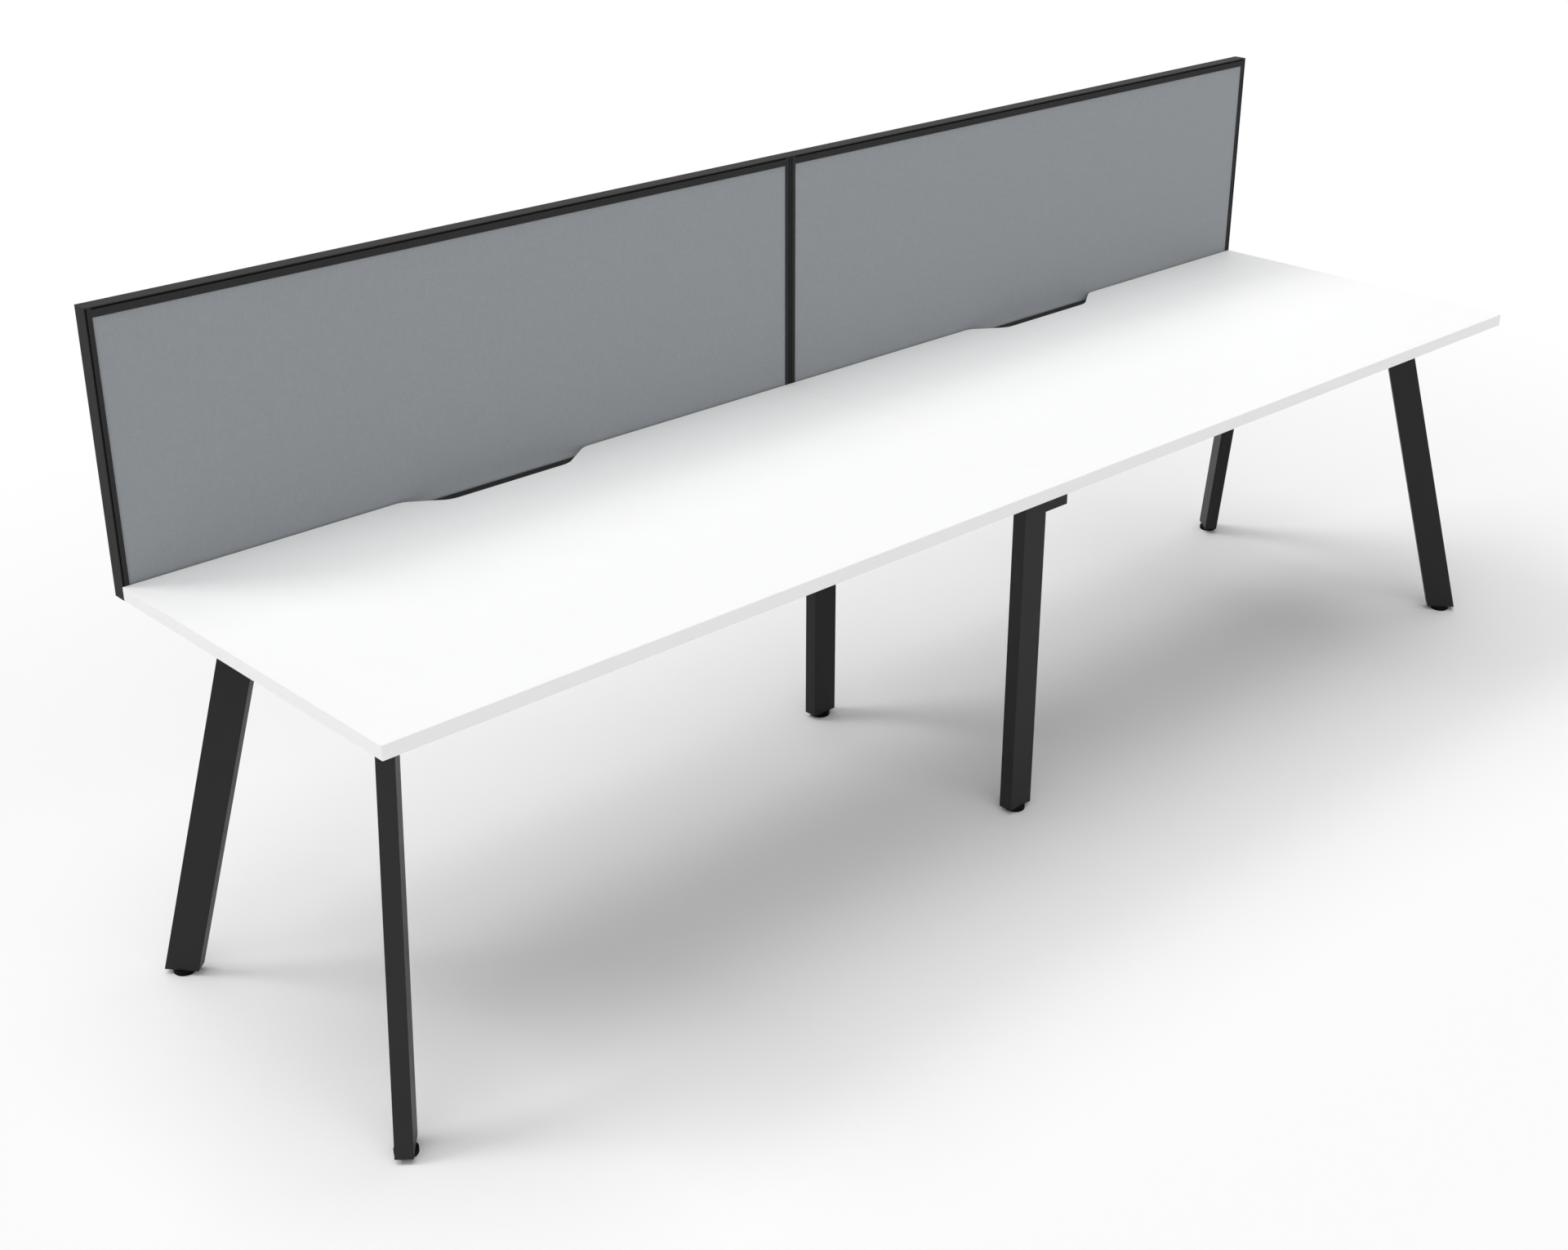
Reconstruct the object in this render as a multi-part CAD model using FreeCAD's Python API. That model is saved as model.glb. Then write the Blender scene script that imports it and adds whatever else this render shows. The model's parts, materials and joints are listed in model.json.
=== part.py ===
import FreeCAD, Part
import math
import os

# Two-place single-sided workstation: two tops in a row on a steel frame, with a fabric-covered
# screen behind each top. Millimetres, +Z up, the user sits at -Y. The origin lies on the floor,
# under the middle of the object's plan.

Vector = FreeCAD.Vector

# Tops: faced board with an edge band all round and a cable notch in the rear edge
top_length = 1500.0
top_depth = 750.0
top_thickness = 25.0
top_height = 730.0
band_thickness = 2.0
band_edge_radius = 0.8
notch_floor_length = 268.0
notch_depth = 50.0
notch_ramp_run = 72.5
notch_corner_radius = 48.0

# Legs: one size of steel tube, splayed at the corners and upright in the middle
leg_width = 60.0
leg_depth = 30.0
tube_wall = 2.0
tube_corner_radius = 1.5
leg_lean = math.radians(15.0)
leg_heading = math.radians(50.0)
left_frame_step_out = 30.0
middle_leg_offset = 280.0

# Levelling feet, fully screwed in at rest
foot_height = 10.0
pad_radius = 20.0
pad_height = 9.5
pad_chamfer = 1.2
pad_floor = 3.0
stud_radius = 4.95
stud_top = 45.0
stud_head_flats = 13.0
stud_collar_radius = 7.5
bush_radius = 8.0
bush_bore_radius = 5.0
plug_height = 25.0
plug_clearance = 0.1

# Frame under the tops
plate_thickness = 5.0
plate_corner_radius = 5.0
end_plate_size = (110.0, 90.0)
end_plate_screw_offset = (45.0, 35.0)
middle_plate_reach = (60.0, 90.0)
middle_plate_depth = 70.0
middle_plate_screw_x = (-45.0, 75.0)
middle_plate_screw_offset = 25.0
rail_width = 25.0
rail_height = 50.0
beam_offset = 120.0
beam_plate_size = (50.0, 80.0)
beam_bolt_offset = 25.0
arm_length = 60.0
arm_height = 65.0
arm_wall = 3.0
arm_corner_reach = 0.9

# Screens: extruded frame round a fabric-covered panel
screen_height = 495.0
screen_thickness = 30.0
stile_face = 13.0
rail_face = {"top": 17.5, "bottom": 9.5}
profile_web = 1.8
profile_groove = 3.0
profile_neck = 18.0
profile_edge_radius = 0.4
cap_thickness = 2.0
cap_pin_radius = 2.0
cap_pin_length = 5.0
cap_pin_offset = 10.0
tongue_length = 40.0
tongue_size = (2.5, 13.0)
panel_gap = 0.5
core_thickness = 18.0
fabric_thickness = 3.5

# Brackets that hold the screens to the tops
bracket_width = 50.0
bracket_reach = 80.0
bracket_offset = 300.0
bracket_screw_reach = (60.0, 25.0)
nut_plate_length = 30.0

# Fasteners: shank radius, head radius and head height, hexagon width across flats. A round head's
# lower edge is rounded by a share of its height.
hole_clearance = 0.3
thread_clearance = 0.05
head_rounding = 0.6
wood_screw = {"shank": 2.0, "head": 4.0, "head_height": 2.6, "depth": 18.0}
machine_screw = {"shank": 2.45, "head": 4.5, "head_height": 3.0}
beam_bolt = {"shank": 4.0, "flats": 13.0, "head_height": 5.3, "nut_height": 6.5, "tail": 2.0}

# Places worked out from the sizes above
seam_x = left_frame_step_out / 2
front_y = -(top_depth + screen_thickness) / 2
rear_y = front_y + top_depth
middle_y = front_y + top_depth / 2
screen_y = rear_y + screen_thickness / 2
under_top = top_height - top_thickness
leg_top = under_top - plate_thickness
rail_middle = leg_top - rail_height / 2
screen_edge = {"top": under_top + screen_height, "bottom": under_top}
panel_channel = 2 * profile_web + profile_groove
left_end = seam_x - top_length
right_end = seam_x + top_length
SIDES = {"left": -1, "right": 1}
ROWS = {"front": -1, "rear": 1}
LEVELS = {"top": 1, "bottom": -1}


# Plain solids


def block(x0, x1, y0, y1, z0, z1):
    """Box between two corners."""
    return Part.makeBox(x1 - x0, y1 - y0, z1 - z0, Vector(x0, y0, z0))


def rod(x, y, z0, z1, radius):
    """Upright cylinder."""
    return Part.makeCylinder(radius, z1 - z0, Vector(x, y, z0))


def rod_along_x(x0, x1, y, z, radius):
    """Level cylinder along X."""
    return Part.makeCylinder(radius, x1 - x0, Vector(x0, y, z), Vector(1, 0, 0))


def hexagon(centre, direction, flats, height):
    """Six-sided prism that starts at centre and runs along direction."""
    reach = flats / math.sqrt(3)
    angles = [math.radians(60 * turn) for turn in range(7)]
    points = [Vector(math.cos(angle), math.sin(angle), 0) * reach for angle in angles]
    prism = Part.Face(Part.makePolygon(points)).extrude(Vector(0, 0, height))
    prism.Placement = FreeCAD.Placement(centre, FreeCAD.Rotation(Vector(0, 0, 1), direction))
    return prism


def rounded_outline(corners):
    """Face inside (x, y, radius) corners, with a tangent arc at each corner that has a radius."""
    spans = []
    for index, (x, y, radius) in enumerate(corners):
        here = Vector(x, y, 0)
        back = (Vector(corners[index - 1][0], corners[index - 1][1], 0) - here).normalize()
        following = corners[(index + 1) % len(corners)]
        ahead = (Vector(following[0], following[1], 0) - here).normalize()
        if radius == 0:
            spans.append((here, None, here))
            continue
        half = back.getAngle(ahead) / 2
        cut = radius / math.tan(half)
        inward = (back + ahead).normalize()
        arc_middle = here + inward * (radius / math.sin(half) - radius)
        spans.append((here + back * cut, arc_middle, here + ahead * cut))
    edges = []
    for index, (start, arc_middle, end) in enumerate(spans):
        if arc_middle is not None:
            edges.append(Part.Arc(start, arc_middle, end).toShape())
        edges.append(Part.LineSegment(end, spans[(index + 1) % len(spans)][0]).toShape())
    return Part.Face(Part.Wire(edges))


def rounded_bar(width, depth, radius, length):
    """Bar along Z with a rounded rectangular section, centred on the Z axis."""
    half_width = width / 2
    half_depth = depth / 2
    corners = [(-half_width, -half_depth), (half_width, -half_depth),
               (half_width, half_depth), (-half_width, half_depth)]
    return rounded_outline([(x, y, radius) for x, y in corners]).extrude(Vector(0, 0, length))


def tube(width, depth, length):
    """Rectangular steel tube along Z, with sharp corners inside."""
    outer = rounded_bar(width, depth, tube_corner_radius, length)
    inner = rounded_bar(width - 2 * tube_wall, depth - 2 * tube_wall, 0, length)
    return outer.cut(inner)


def placed(shape, origin, x_axis, z_axis):
    """The shape with its local X and Z turned to the given directions and its origin moved."""
    turned = shape.copy()
    turned.Placement = FreeCAD.Placement(
        origin, FreeCAD.Rotation(x_axis, z_axis.cross(x_axis), z_axis, "ZXY"))
    return turned


def group(solids):
    """Separate solids kept as one node."""
    return Part.makeCompound(solids)


# Tops


def top_outline(centre_x, inset):
    """Plan of one top, drawn in by inset on every edge, with its cable notch."""
    ramp_angle = math.atan2(notch_depth, notch_ramp_run)
    shift = inset * math.tan(ramp_angle / 2)
    floor_half = notch_floor_length / 2 + shift
    mouth_half = floor_half + notch_ramp_run
    floor_y = rear_y - notch_depth - inset
    left = centre_x - top_length / 2 + inset
    right = centre_x + top_length / 2 - inset
    front = front_y + inset
    rear = rear_y - inset
    convex = notch_corner_radius - inset
    concave = notch_corner_radius + inset
    return rounded_outline([
        (left, front, 0),
        (right, front, 0),
        (right, rear, 0),
        (centre_x + mouth_half, rear, convex),
        (centre_x + floor_half, floor_y, concave),
        (centre_x - floor_half, floor_y, concave),
        (centre_x - mouth_half, rear, convex),
        (left, rear, 0),
    ])


def raised(face, z0, z1):
    """A level face drawn up from z0 to z1."""
    lifted = face.copy()
    lifted.translate(Vector(0, 0, z0))
    return lifted.extrude(Vector(0, 0, z1 - z0))


def edge_band(centre_x):
    """Strip glued round one top, with its outer edges eased."""
    outer = raised(top_outline(centre_x, 0), under_top, top_height)
    rim = [edge for edge in outer.Edges
           if abs(edge.BoundBox.ZMin - edge.BoundBox.ZMax) < band_edge_radius]
    eased = outer.makeFillet(band_edge_radius, rim)
    inner = raised(top_outline(centre_x, band_thickness), under_top, top_height)
    return eased.cut(inner)


def board(centre_x, screws):
    """Board of one top, with a blind pilot hole for each wood screw below it."""
    core = raised(top_outline(centre_x, band_thickness), under_top, top_height)
    half = top_length / 2
    pilots = [
        rod(x, y, under_top, under_top + wood_screw["depth"], wood_screw["shank"] + thread_clearance)
        for x, y in screws if abs(x - centre_x) < half
    ]
    return core.cut(pilots)


# Legs and feet


def leg_reach(along, across):
    """How far a splayed leg's foot reaches along a plan direction.

    along and across are the direction's shares along the tube's wide side and its narrow side.
    """
    stretch = 1 / math.cos(leg_lean)
    straight_along = (leg_width / 2 - tube_corner_radius) * stretch * along
    straight_across = (leg_depth / 2 - tube_corner_radius) * across
    corner = tube_corner_radius * math.hypot(stretch * along, across)
    return straight_along + straight_across + corner


def end_leg_foot(side, row):
    """Centre of a corner leg's lower end. The leg's outline ends in line with the tops' edges."""
    reach_x = leg_reach(math.cos(leg_heading), math.sin(leg_heading))
    reach_y = leg_reach(math.sin(leg_heading), math.cos(leg_heading))
    outer_x = {"left": left_end - left_frame_step_out, "right": right_end}[side]
    outer_y = middle_y + ROWS[row] * top_depth / 2
    return Vector(outer_x - SIDES[side] * reach_x, outer_y - ROWS[row] * reach_y, foot_height)


def middle_leg_foot(row):
    """Centre of a middle leg's lower end."""
    return Vector(seam_x, middle_y + ROWS[row] * middle_leg_offset, foot_height)


def leaning_bar(side, row, inset, z0, z1):
    """Solid bar along a corner leg's axis, drawn in from the tube's outside, cut level at both ends."""
    foot = end_leg_foot(side, row)
    out_x = SIDES[side] * math.cos(leg_heading)
    out_y = ROWS[row] * math.sin(leg_heading)
    up = Vector(-math.sin(leg_lean) * out_x, -math.sin(leg_lean) * out_y, math.cos(leg_lean))
    out = Vector(math.cos(leg_lean) * out_x, math.cos(leg_lean) * out_y, math.sin(leg_lean))
    spare = leg_width
    length = (leg_top - foot_height) / math.cos(leg_lean) + 2 * spare
    radius = max(tube_corner_radius - inset, 0)
    bar = rounded_bar(leg_width - 2 * inset, leg_depth - 2 * inset, radius, length)
    bar = placed(bar, foot - up * spare, out, up)
    margin = leg_top
    return bar.common(block(foot.x - margin, foot.x + margin, foot.y - margin, foot.y + margin, z0, z1))


def end_leg(side, row):
    """Splayed corner leg."""
    outer = leaning_bar(side, row, 0, foot_height, leg_top)
    return outer.cut(leaning_bar(side, row, tube_wall, foot_height, leg_top))


def end_leg_head(side, row):
    """Centre of a corner leg's upper end."""
    run = (leg_top - foot_height) * math.tan(leg_lean)
    foot = end_leg_foot(side, row)
    return Vector(foot.x - SIDES[side] * run * math.cos(leg_heading),
                  foot.y - ROWS[row] * run * math.sin(leg_heading), leg_top)


def end_leg_plug(side, row):
    """Plastic plug in a corner leg's lower end, bored for the threaded bush."""
    foot = end_leg_foot(side, row)
    top = foot_height + plug_height
    plug = leaning_bar(side, row, tube_wall + plug_clearance, foot_height, top)
    return plug.cut(rod(foot.x, foot.y, foot_height, top, bush_radius))


def upright_bar(row, inset, z0, z1):
    """Solid bar along a middle leg's axis, drawn in from the tube's outside, wide along the tops."""
    foot = middle_leg_foot(row)
    radius = max(tube_corner_radius - inset, 0)
    bar = rounded_bar(leg_width - 2 * inset, leg_depth - 2 * inset, radius, z1 - z0)
    bar.translate(Vector(foot.x, foot.y, z0))
    return bar


def middle_leg(row):
    """Upright middle leg."""
    outer = upright_bar(row, 0, foot_height, leg_top)
    return outer.cut(upright_bar(row, tube_wall, foot_height, leg_top))


def middle_leg_plug(row):
    """Plastic plug in a middle leg's lower end, bored for the threaded bush."""
    foot = middle_leg_foot(row)
    top = foot_height + plug_height
    plug = upright_bar(row, tube_wall + plug_clearance, foot_height, top)
    return plug.cut(rod(foot.x, foot.y, foot_height, top, bush_radius))


def foot_bush(foot):
    """Steel bush that the levelling stud screws into."""
    top = foot_height + plug_height
    return rod(foot.x, foot.y, foot_height, top, bush_radius).cut(
        rod(foot.x, foot.y, foot_height, top, bush_bore_radius))


def stud_head(foot):
    """Space that a stud's hexagon head takes in its pad."""
    seat = Vector(foot.x, foot.y, pad_floor)
    return hexagon(seat, Vector(0, 0, 1), stud_head_flats, pad_height - pad_floor)


def foot_stud(foot):
    """Threaded stud with a hexagon head held in the pad and a collar that stops against the bush."""
    head = stud_head(foot)
    collar = rod(foot.x, foot.y, pad_height, foot_height, stud_collar_radius)
    shank = rod(foot.x, foot.y, foot_height, stud_top, stud_radius)
    return head.fuse([collar, shank]).removeSplitter()


def foot_pad(foot):
    """Round plastic pad, open on top for the stud's head."""
    pad = rod(foot.x, foot.y, 0, pad_height, pad_radius)
    pad = pad.makeChamfer(pad_chamfer, [edge for edge in pad.Edges if edge.BoundBox.ZLength < pad_chamfer])
    return pad.cut(stud_head(foot))


# Frame under the tops


def end_plate_screws(side, row):
    """Screw places on a corner leg's plate, none in the corner that the splayed leg covers."""
    head = end_leg_head(side, row)
    dx, dy = end_plate_screw_offset
    return [
        (head.x + SIDES[side] * dx, head.y - ROWS[row] * dy),
        (head.x - SIDES[side] * dx, head.y + ROWS[row] * dy),
        (head.x - SIDES[side] * dx, head.y - ROWS[row] * dy),
    ]


def middle_plate_screws(row):
    """Screw places on a middle leg's plate, two in each top."""
    foot = middle_leg_foot(row)
    return [
        (seam_x + x, foot.y + step)
        for x in middle_plate_screw_x
        for step in (-middle_plate_screw_offset, middle_plate_screw_offset)
    ]


def screw_holes(screws, radius, z0, z1):
    """Upright holes at the given places."""
    return [rod(x, y, z0, z1, radius) for x, y in screws]


def plate_holes(screws):
    """Clearance holes for wood screws through a plate below the tops."""
    return screw_holes(screws, wood_screw["shank"] + hole_clearance, leg_top, under_top)


def top_plate(x0, x1, y0, y1):
    """Level steel plate right below the tops, with rounded corners."""
    corners = [(x0, y0), (x1, y0), (x1, y1), (x0, y1)]
    outline = rounded_outline([(x, y, plate_corner_radius) for x, y in corners])
    return raised(outline, leg_top, under_top)


def end_plate(side, row):
    """Plate welded on a corner leg and screwed up into the top."""
    head = end_leg_head(side, row)
    half_x = end_plate_size[0] / 2
    half_y = end_plate_size[1] / 2
    plate = top_plate(head.x - half_x, head.x + half_x, head.y - half_y, head.y + half_y)
    return plate.cut(plate_holes(end_plate_screws(side, row)))


def middle_plate(row):
    """Plate welded on a middle leg and its arm, screwed up into both tops across the seam."""
    foot = middle_leg_foot(row)
    half = middle_plate_depth / 2
    plate = top_plate(seam_x - middle_plate_reach[0], seam_x + middle_plate_reach[1],
                      foot.y - half, foot.y + half)
    return plate.cut(plate_holes(middle_plate_screws(row)))


def middle_arm(row):
    """Folded arm beside a middle leg's head, open below, flush with the leg's front and back.

    Its walls reach round the leg's corners, so that no gap shows between them.
    """
    foot = middle_leg_foot(row)
    x0 = seam_x + leg_width / 2
    x1 = x0 + arm_length
    y0 = foot.y - leg_depth / 2
    y1 = foot.y + leg_depth / 2
    z0 = leg_top - arm_height
    hollow = block(x0, x1 - arm_wall, y0 + arm_wall, y1 - arm_wall, z0, leg_top - arm_wall)
    body = block(x0 - arm_corner_reach, x1, y0, y1, z0, leg_top)
    return body.cut([hollow, upright_bar(row, 0, z0, leg_top)])


def beam_bolt_rows(row):
    """Y of the two bolts beside one beam."""
    y = middle_y + ROWS[row] * beam_offset
    return [y - beam_bolt_offset, y + beam_bolt_offset]


bolt_rows = [y for row in ROWS for y in beam_bolt_rows(row)]


def bolt_holes(x0, x1, rows):
    """Level bolt holes along X, from x0 to x1."""
    return [rod_along_x(x0, x1, y, rail_middle, beam_bolt["shank"] + hole_clearance) for y in rows]


def cross_rail(x, reach):
    """Tube across the frame at x, from the middle line to reach on both sides."""
    rail = tube(rail_height, rail_width, 2 * reach)
    rail = placed(rail, Vector(x, middle_y - reach, rail_middle), Vector(0, 0, 1), Vector(0, 1, 0))
    return rail.cut(bolt_holes(x - rail_width, x + rail_width, bolt_rows))


def end_rail(side):
    """Cross rail between two corner legs, its ends cut to the legs' faces."""
    head = end_leg_head(side, "rear")
    rail = cross_rail(head.x, head.y - middle_y)
    return rail.cut([leaning_bar(side, row, 0, foot_height, leg_top) for row in ROWS])


def beam_span(side):
    """X of a beam's two rail faces, from the end frame to the middle frame."""
    toward_middle = -SIDES[side] * rail_width / 2
    return end_leg_head(side, "rear").x + toward_middle, seam_x - toward_middle


def beam(side, row):
    """Tube along one top, between its two end plates."""
    start, end = sorted(beam_span(side))
    length = end - start - 2 * plate_thickness
    bar = tube(rail_height, rail_width, length)
    y = middle_y + ROWS[row] * beam_offset
    return placed(bar, Vector(start + plate_thickness, y, rail_middle), Vector(0, 0, 1), Vector(1, 0, 0))


def beam_end_plates(side, row):
    """Plates welded on both ends of a beam and bolted to the cross rails."""
    start, end = sorted(beam_span(side))
    y = middle_y + ROWS[row] * beam_offset
    plates = []
    for x in (start, end - plate_thickness):
        plate = rounded_bar(*beam_plate_size, plate_corner_radius, plate_thickness)
        plate = placed(plate, Vector(x, y, rail_middle), Vector(0, 0, 1), Vector(1, 0, 0))
        plates.append(plate.cut(bolt_holes(x, x + plate_thickness, beam_bolt_rows(row))))
    return plates


def beam_joints():
    """Every bolted joint of the beams: where its head sits, where its nut sits, and its Y."""
    joints = []
    for side in SIDES:
        rail_x = end_leg_head(side, "rear").x
        outside = rail_x + SIDES[side] * rail_width / 2
        inside = rail_x - SIDES[side] * (rail_width / 2 + plate_thickness)
        joints += [(outside, inside, y) for y in bolt_rows]
    reach = rail_width / 2 + plate_thickness
    joints += [(seam_x - reach, seam_x + reach, y) for y in bolt_rows]
    return joints


def bolt(head_x, nut_x, y):
    """Hexagon bolt through a cross rail and the end plates on it."""
    direction = math.copysign(1, nut_x - head_x)
    tail_x = nut_x + direction * (beam_bolt["nut_height"] + beam_bolt["tail"])
    shank = rod_along_x(min(head_x, tail_x), max(head_x, tail_x), y, rail_middle, beam_bolt["shank"])
    head = hexagon(Vector(head_x, y, rail_middle), Vector(-direction, 0, 0),
                   beam_bolt["flats"], beam_bolt["head_height"])
    return shank.fuse(head).removeSplitter()


def nut(head_x, nut_x, y):
    """Hexagon nut on a beam bolt."""
    direction = math.copysign(1, nut_x - head_x)
    height = beam_bolt["nut_height"]
    body = hexagon(Vector(nut_x, y, rail_middle), Vector(direction, 0, 0), beam_bolt["flats"], height)
    near_x, far_x = sorted((nut_x, nut_x + direction * height))
    return body.cut(rod_along_x(near_x, far_x, y, rail_middle, beam_bolt["shank"] + thread_clearance))


# Screens


def profile_bar(length, face, grooved):
    """Extruded frame profile along Z. Local X runs from its outer face towards the panel.

    Three chambers lie side by side behind the outer face. On a grooved profile the outer two are open
    to the front and the back.
    """
    half = screen_thickness / 2
    neck = profile_neck / 2
    groove_end = profile_web + profile_groove
    lip = half - profile_web
    eased = profile_edge_radius
    side = [(0, half, eased)]
    chambers = [(profile_web - neck, neck - profile_web)]
    if grooved:
        side += [(profile_web, half, eased), (profile_web, neck, 0)]
        side += [(groove_end, neck, 0), (groove_end, half, eased)]
    else:
        chambers += [(-lip, -neck), (neck, lip)]
    side += [(face, half, eased), (face, lip, 0), (panel_channel, lip, 0)]
    mirrored = [(x, -y, radius) for x, y, radius in reversed(side)]
    bar = rounded_outline(side + mirrored).extrude(Vector(0, 0, length))
    return bar.cut([block(profile_web, groove_end, y0, y1, 0, length) for y0, y1 in chambers])


def screen_rail(left, level):
    """Level profile between the stiles of the screen whose left end is at left."""
    length = top_length - 2 * stile_face
    start = Vector(left + stile_face, screen_y, screen_edge[level])
    inward = Vector(0, 0, -LEVELS[level])
    bar = profile_bar(length, rail_face[level], level == "top")
    rail = placed(bar, start, inward, Vector(1, 0, 0))
    if level == "bottom":
        holes = screw_holes(bracket_bolts(left), machine_screw["shank"] + hole_clearance,
                            under_top, under_top + profile_web)
        rail = rail.cut(holes)
    return rail


def tongue_level(level):
    """Lowest and highest Z of a rail's inner chamber."""
    near = screen_edge[level] - LEVELS[level] * profile_web
    far = near - LEVELS[level] * profile_groove
    return sorted((near, far))


def screen_stile(left, side):
    """Upright profile at one end of a screen, slotted where the corner tongues pass into it."""
    x = left if side == "left" else left + top_length
    inward = -SIDES[side]
    bar = profile_bar(screen_height - 2 * cap_thickness, stile_face, True)
    foot = Vector(x, screen_y, under_top + cap_thickness)
    stile = placed(bar, foot, Vector(inward, 0, 0), Vector(0, 0, 1))
    half = profile_neck / 2 - profile_web
    far = x + inward * panel_channel
    near = far - inward * profile_web
    slots = [
        block(min(near, far), max(near, far), screen_y - half, screen_y + half, *tongue_level(level))
        for level in LEVELS
    ]
    return stile.cut(slots)


def corner_tongue(left, side, level):
    """Flat bar that joins a rail to a stile inside their chambers."""
    x = left if side == "left" else left + top_length
    inward = -SIDES[side]
    z0, z1 = tongue_level(level)
    middle = (z0 + z1) / 2
    near = x + inward * (profile_web + panel_gap / 2)
    far = x + inward * (stile_face + tongue_length)
    half_height = tongue_size[0] / 2
    half_depth = tongue_size[1] / 2
    return block(min(near, far), max(near, far), screen_y - half_depth, screen_y + half_depth,
                 middle - half_height, middle + half_height)


def stile_cap(left, side, level):
    """Plastic cap on a stile's end, pinned into its panel channel."""
    x0 = left if side == "left" else left + top_length - stile_face
    z0 = screen_edge["top"] - cap_thickness if level == "top" else under_top
    plate = block(x0, x0 + stile_face, screen_y - screen_thickness / 2, screen_y + screen_thickness / 2,
                  z0, z0 + cap_thickness)
    pin_x = x0 + (stile_face - SIDES[side] * panel_channel) / 2
    pin_z = z0 - cap_pin_length if level == "top" else z0 + cap_thickness
    pins = [
        rod(pin_x, screen_y + step, pin_z, pin_z + cap_pin_length, cap_pin_radius)
        for step in (-cap_pin_offset, cap_pin_offset)
    ]
    return plate.fuse(pins)


def panel_slab(left, y0, y1):
    """Slab that fills a screen's panel channel, from y0 to y1."""
    inset = panel_channel + panel_gap
    x0 = left + inset
    x1 = left + top_length - inset
    return block(x0, x1, y0, y1, screen_edge["bottom"] + inset, screen_edge["top"] - inset)


def bracket_places(left):
    """X of the two brackets below a screen."""
    middle = left + top_length / 2
    return [middle - bracket_offset, middle + bracket_offset]


def bracket_bolts(left):
    """Places of the machine screws that hold a screen on its brackets."""
    return [(x, screen_y) for x in bracket_places(left)]


def bracket_screws(left):
    """Places of the wood screws that hold a screen's brackets to the top."""
    return [(x, rear_y - reach) for x in bracket_places(left) for reach in bracket_screw_reach]


def screen_brackets(left):
    """Flat steel brackets below a top's rear edge and the screen's bottom rail."""
    half = bracket_width / 2
    front = rear_y - bracket_reach
    back = rear_y + screen_thickness
    holes = plate_holes(bracket_screws(left))
    holes += screw_holes(bracket_bolts(left), machine_screw["shank"] + hole_clearance, leg_top, under_top)
    return [
        top_plate(x - half, x + half, front, back).cut(holes)
        for x in bracket_places(left)
    ]


def nut_plates(left):
    """Tapped plates inside a screen's bottom rail."""
    z0 = under_top + profile_web
    z1 = z0 + tongue_size[0]
    half = nut_plate_length / 2
    front = screen_y - tongue_size[1] / 2
    back = screen_y + tongue_size[1] / 2
    holes = screw_holes(bracket_bolts(left), machine_screw["shank"] + thread_clearance, z0, z1)
    return [
        block(x - half, x + half, front, back, z0, z1).cut(holes)
        for x in bracket_places(left)
    ]


def upright_screw(x, y, size, tip_z):
    """Round-headed screw driven up through a plate at leg-plate level."""
    height = size["head_height"]
    head = rod(x, y, leg_top - height, leg_top, size["head"])
    lower_edge = [edge for edge in head.Edges
                  if edge.BoundBox.ZMax < leg_top - height / 2 and edge.BoundBox.XLength > size["head"]]
    head = head.makeFillet(height * head_rounding, lower_edge)
    return head.fuse(rod(x, y, leg_top, tip_z, size["shank"])).removeSplitter()


# All nodes

screens = {"left": left_end, "right": seam_x}
corners = [(side, row) for side in SIDES for row in ROWS]
end_feet = {f"{side}_{row}": end_leg_foot(side, row) for side, row in corners}
middle_feet = {f"middle_{row}": middle_leg_foot(row) for row in ROWS}
feet = {**end_feet, **middle_feet}

top_screw_places = [place for side, row in corners for place in end_plate_screws(side, row)]
top_screw_places += [place for row in ROWS for place in middle_plate_screws(row)]
top_screw_places += [place for left in screens.values() for place in bracket_screws(left)]

nodes = {}
for side, left in screens.items():
    centre = left + top_length / 2
    nodes[f"{side}_top"] = board(centre, top_screw_places)
    nodes[f"{side}_top_edge_band"] = edge_band(centre)

for side, row in corners:
    nodes[f"{side}_{row}_leg"] = end_leg(side, row)
    nodes[f"{side}_{row}_beam"] = beam(side, row)
for side in SIDES:
    nodes[f"{side}_end_rail"] = end_rail(side)
    nodes[f"{side}_leg_plates"] = group([end_plate(side, row) for row in ROWS])
for row in ROWS:
    nodes[f"middle_{row}_leg"] = middle_leg(row)
    nodes[f"middle_{row}_arm"] = middle_arm(row)
nodes["middle_rail"] = cross_rail(seam_x, middle_leg_offset - leg_depth / 2)
nodes["middle_leg_plates"] = group([middle_plate(row) for row in ROWS])
nodes["beam_end_plates"] = group([plate for side, row in corners for plate in beam_end_plates(side, row)])
nodes["beam_bolts"] = group([bolt(*joint) for joint in beam_joints()])
nodes["beam_nuts"] = group([nut(*joint) for joint in beam_joints()])

plugs = [end_leg_plug(side, row) for side, row in corners]
plugs += [middle_leg_plug(row) for row in ROWS]
nodes["leg_plugs"] = group(plugs)
nodes["foot_bushes"] = group([foot_bush(foot) for foot in feet.values()])
for name, foot in feet.items():
    nodes[f"{name}_foot_pad"] = foot_pad(foot)
    nodes[f"{name}_foot_stud"] = foot_stud(foot)

core_front = screen_y - core_thickness / 2
core_back = screen_y + core_thickness / 2
for side, left in screens.items():
    for level in LEVELS:
        nodes[f"{side}_screen_{level}_rail"] = screen_rail(left, level)
    for end in SIDES:
        nodes[f"{side}_screen_{end}_stile"] = screen_stile(left, end)
    nodes[f"{side}_screen_core"] = panel_slab(left, core_front, core_back)
    nodes[f"{side}_screen_front_fabric"] = panel_slab(left, core_front - fabric_thickness, core_front)
    nodes[f"{side}_screen_back_fabric"] = panel_slab(left, core_back, core_back + fabric_thickness)

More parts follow.
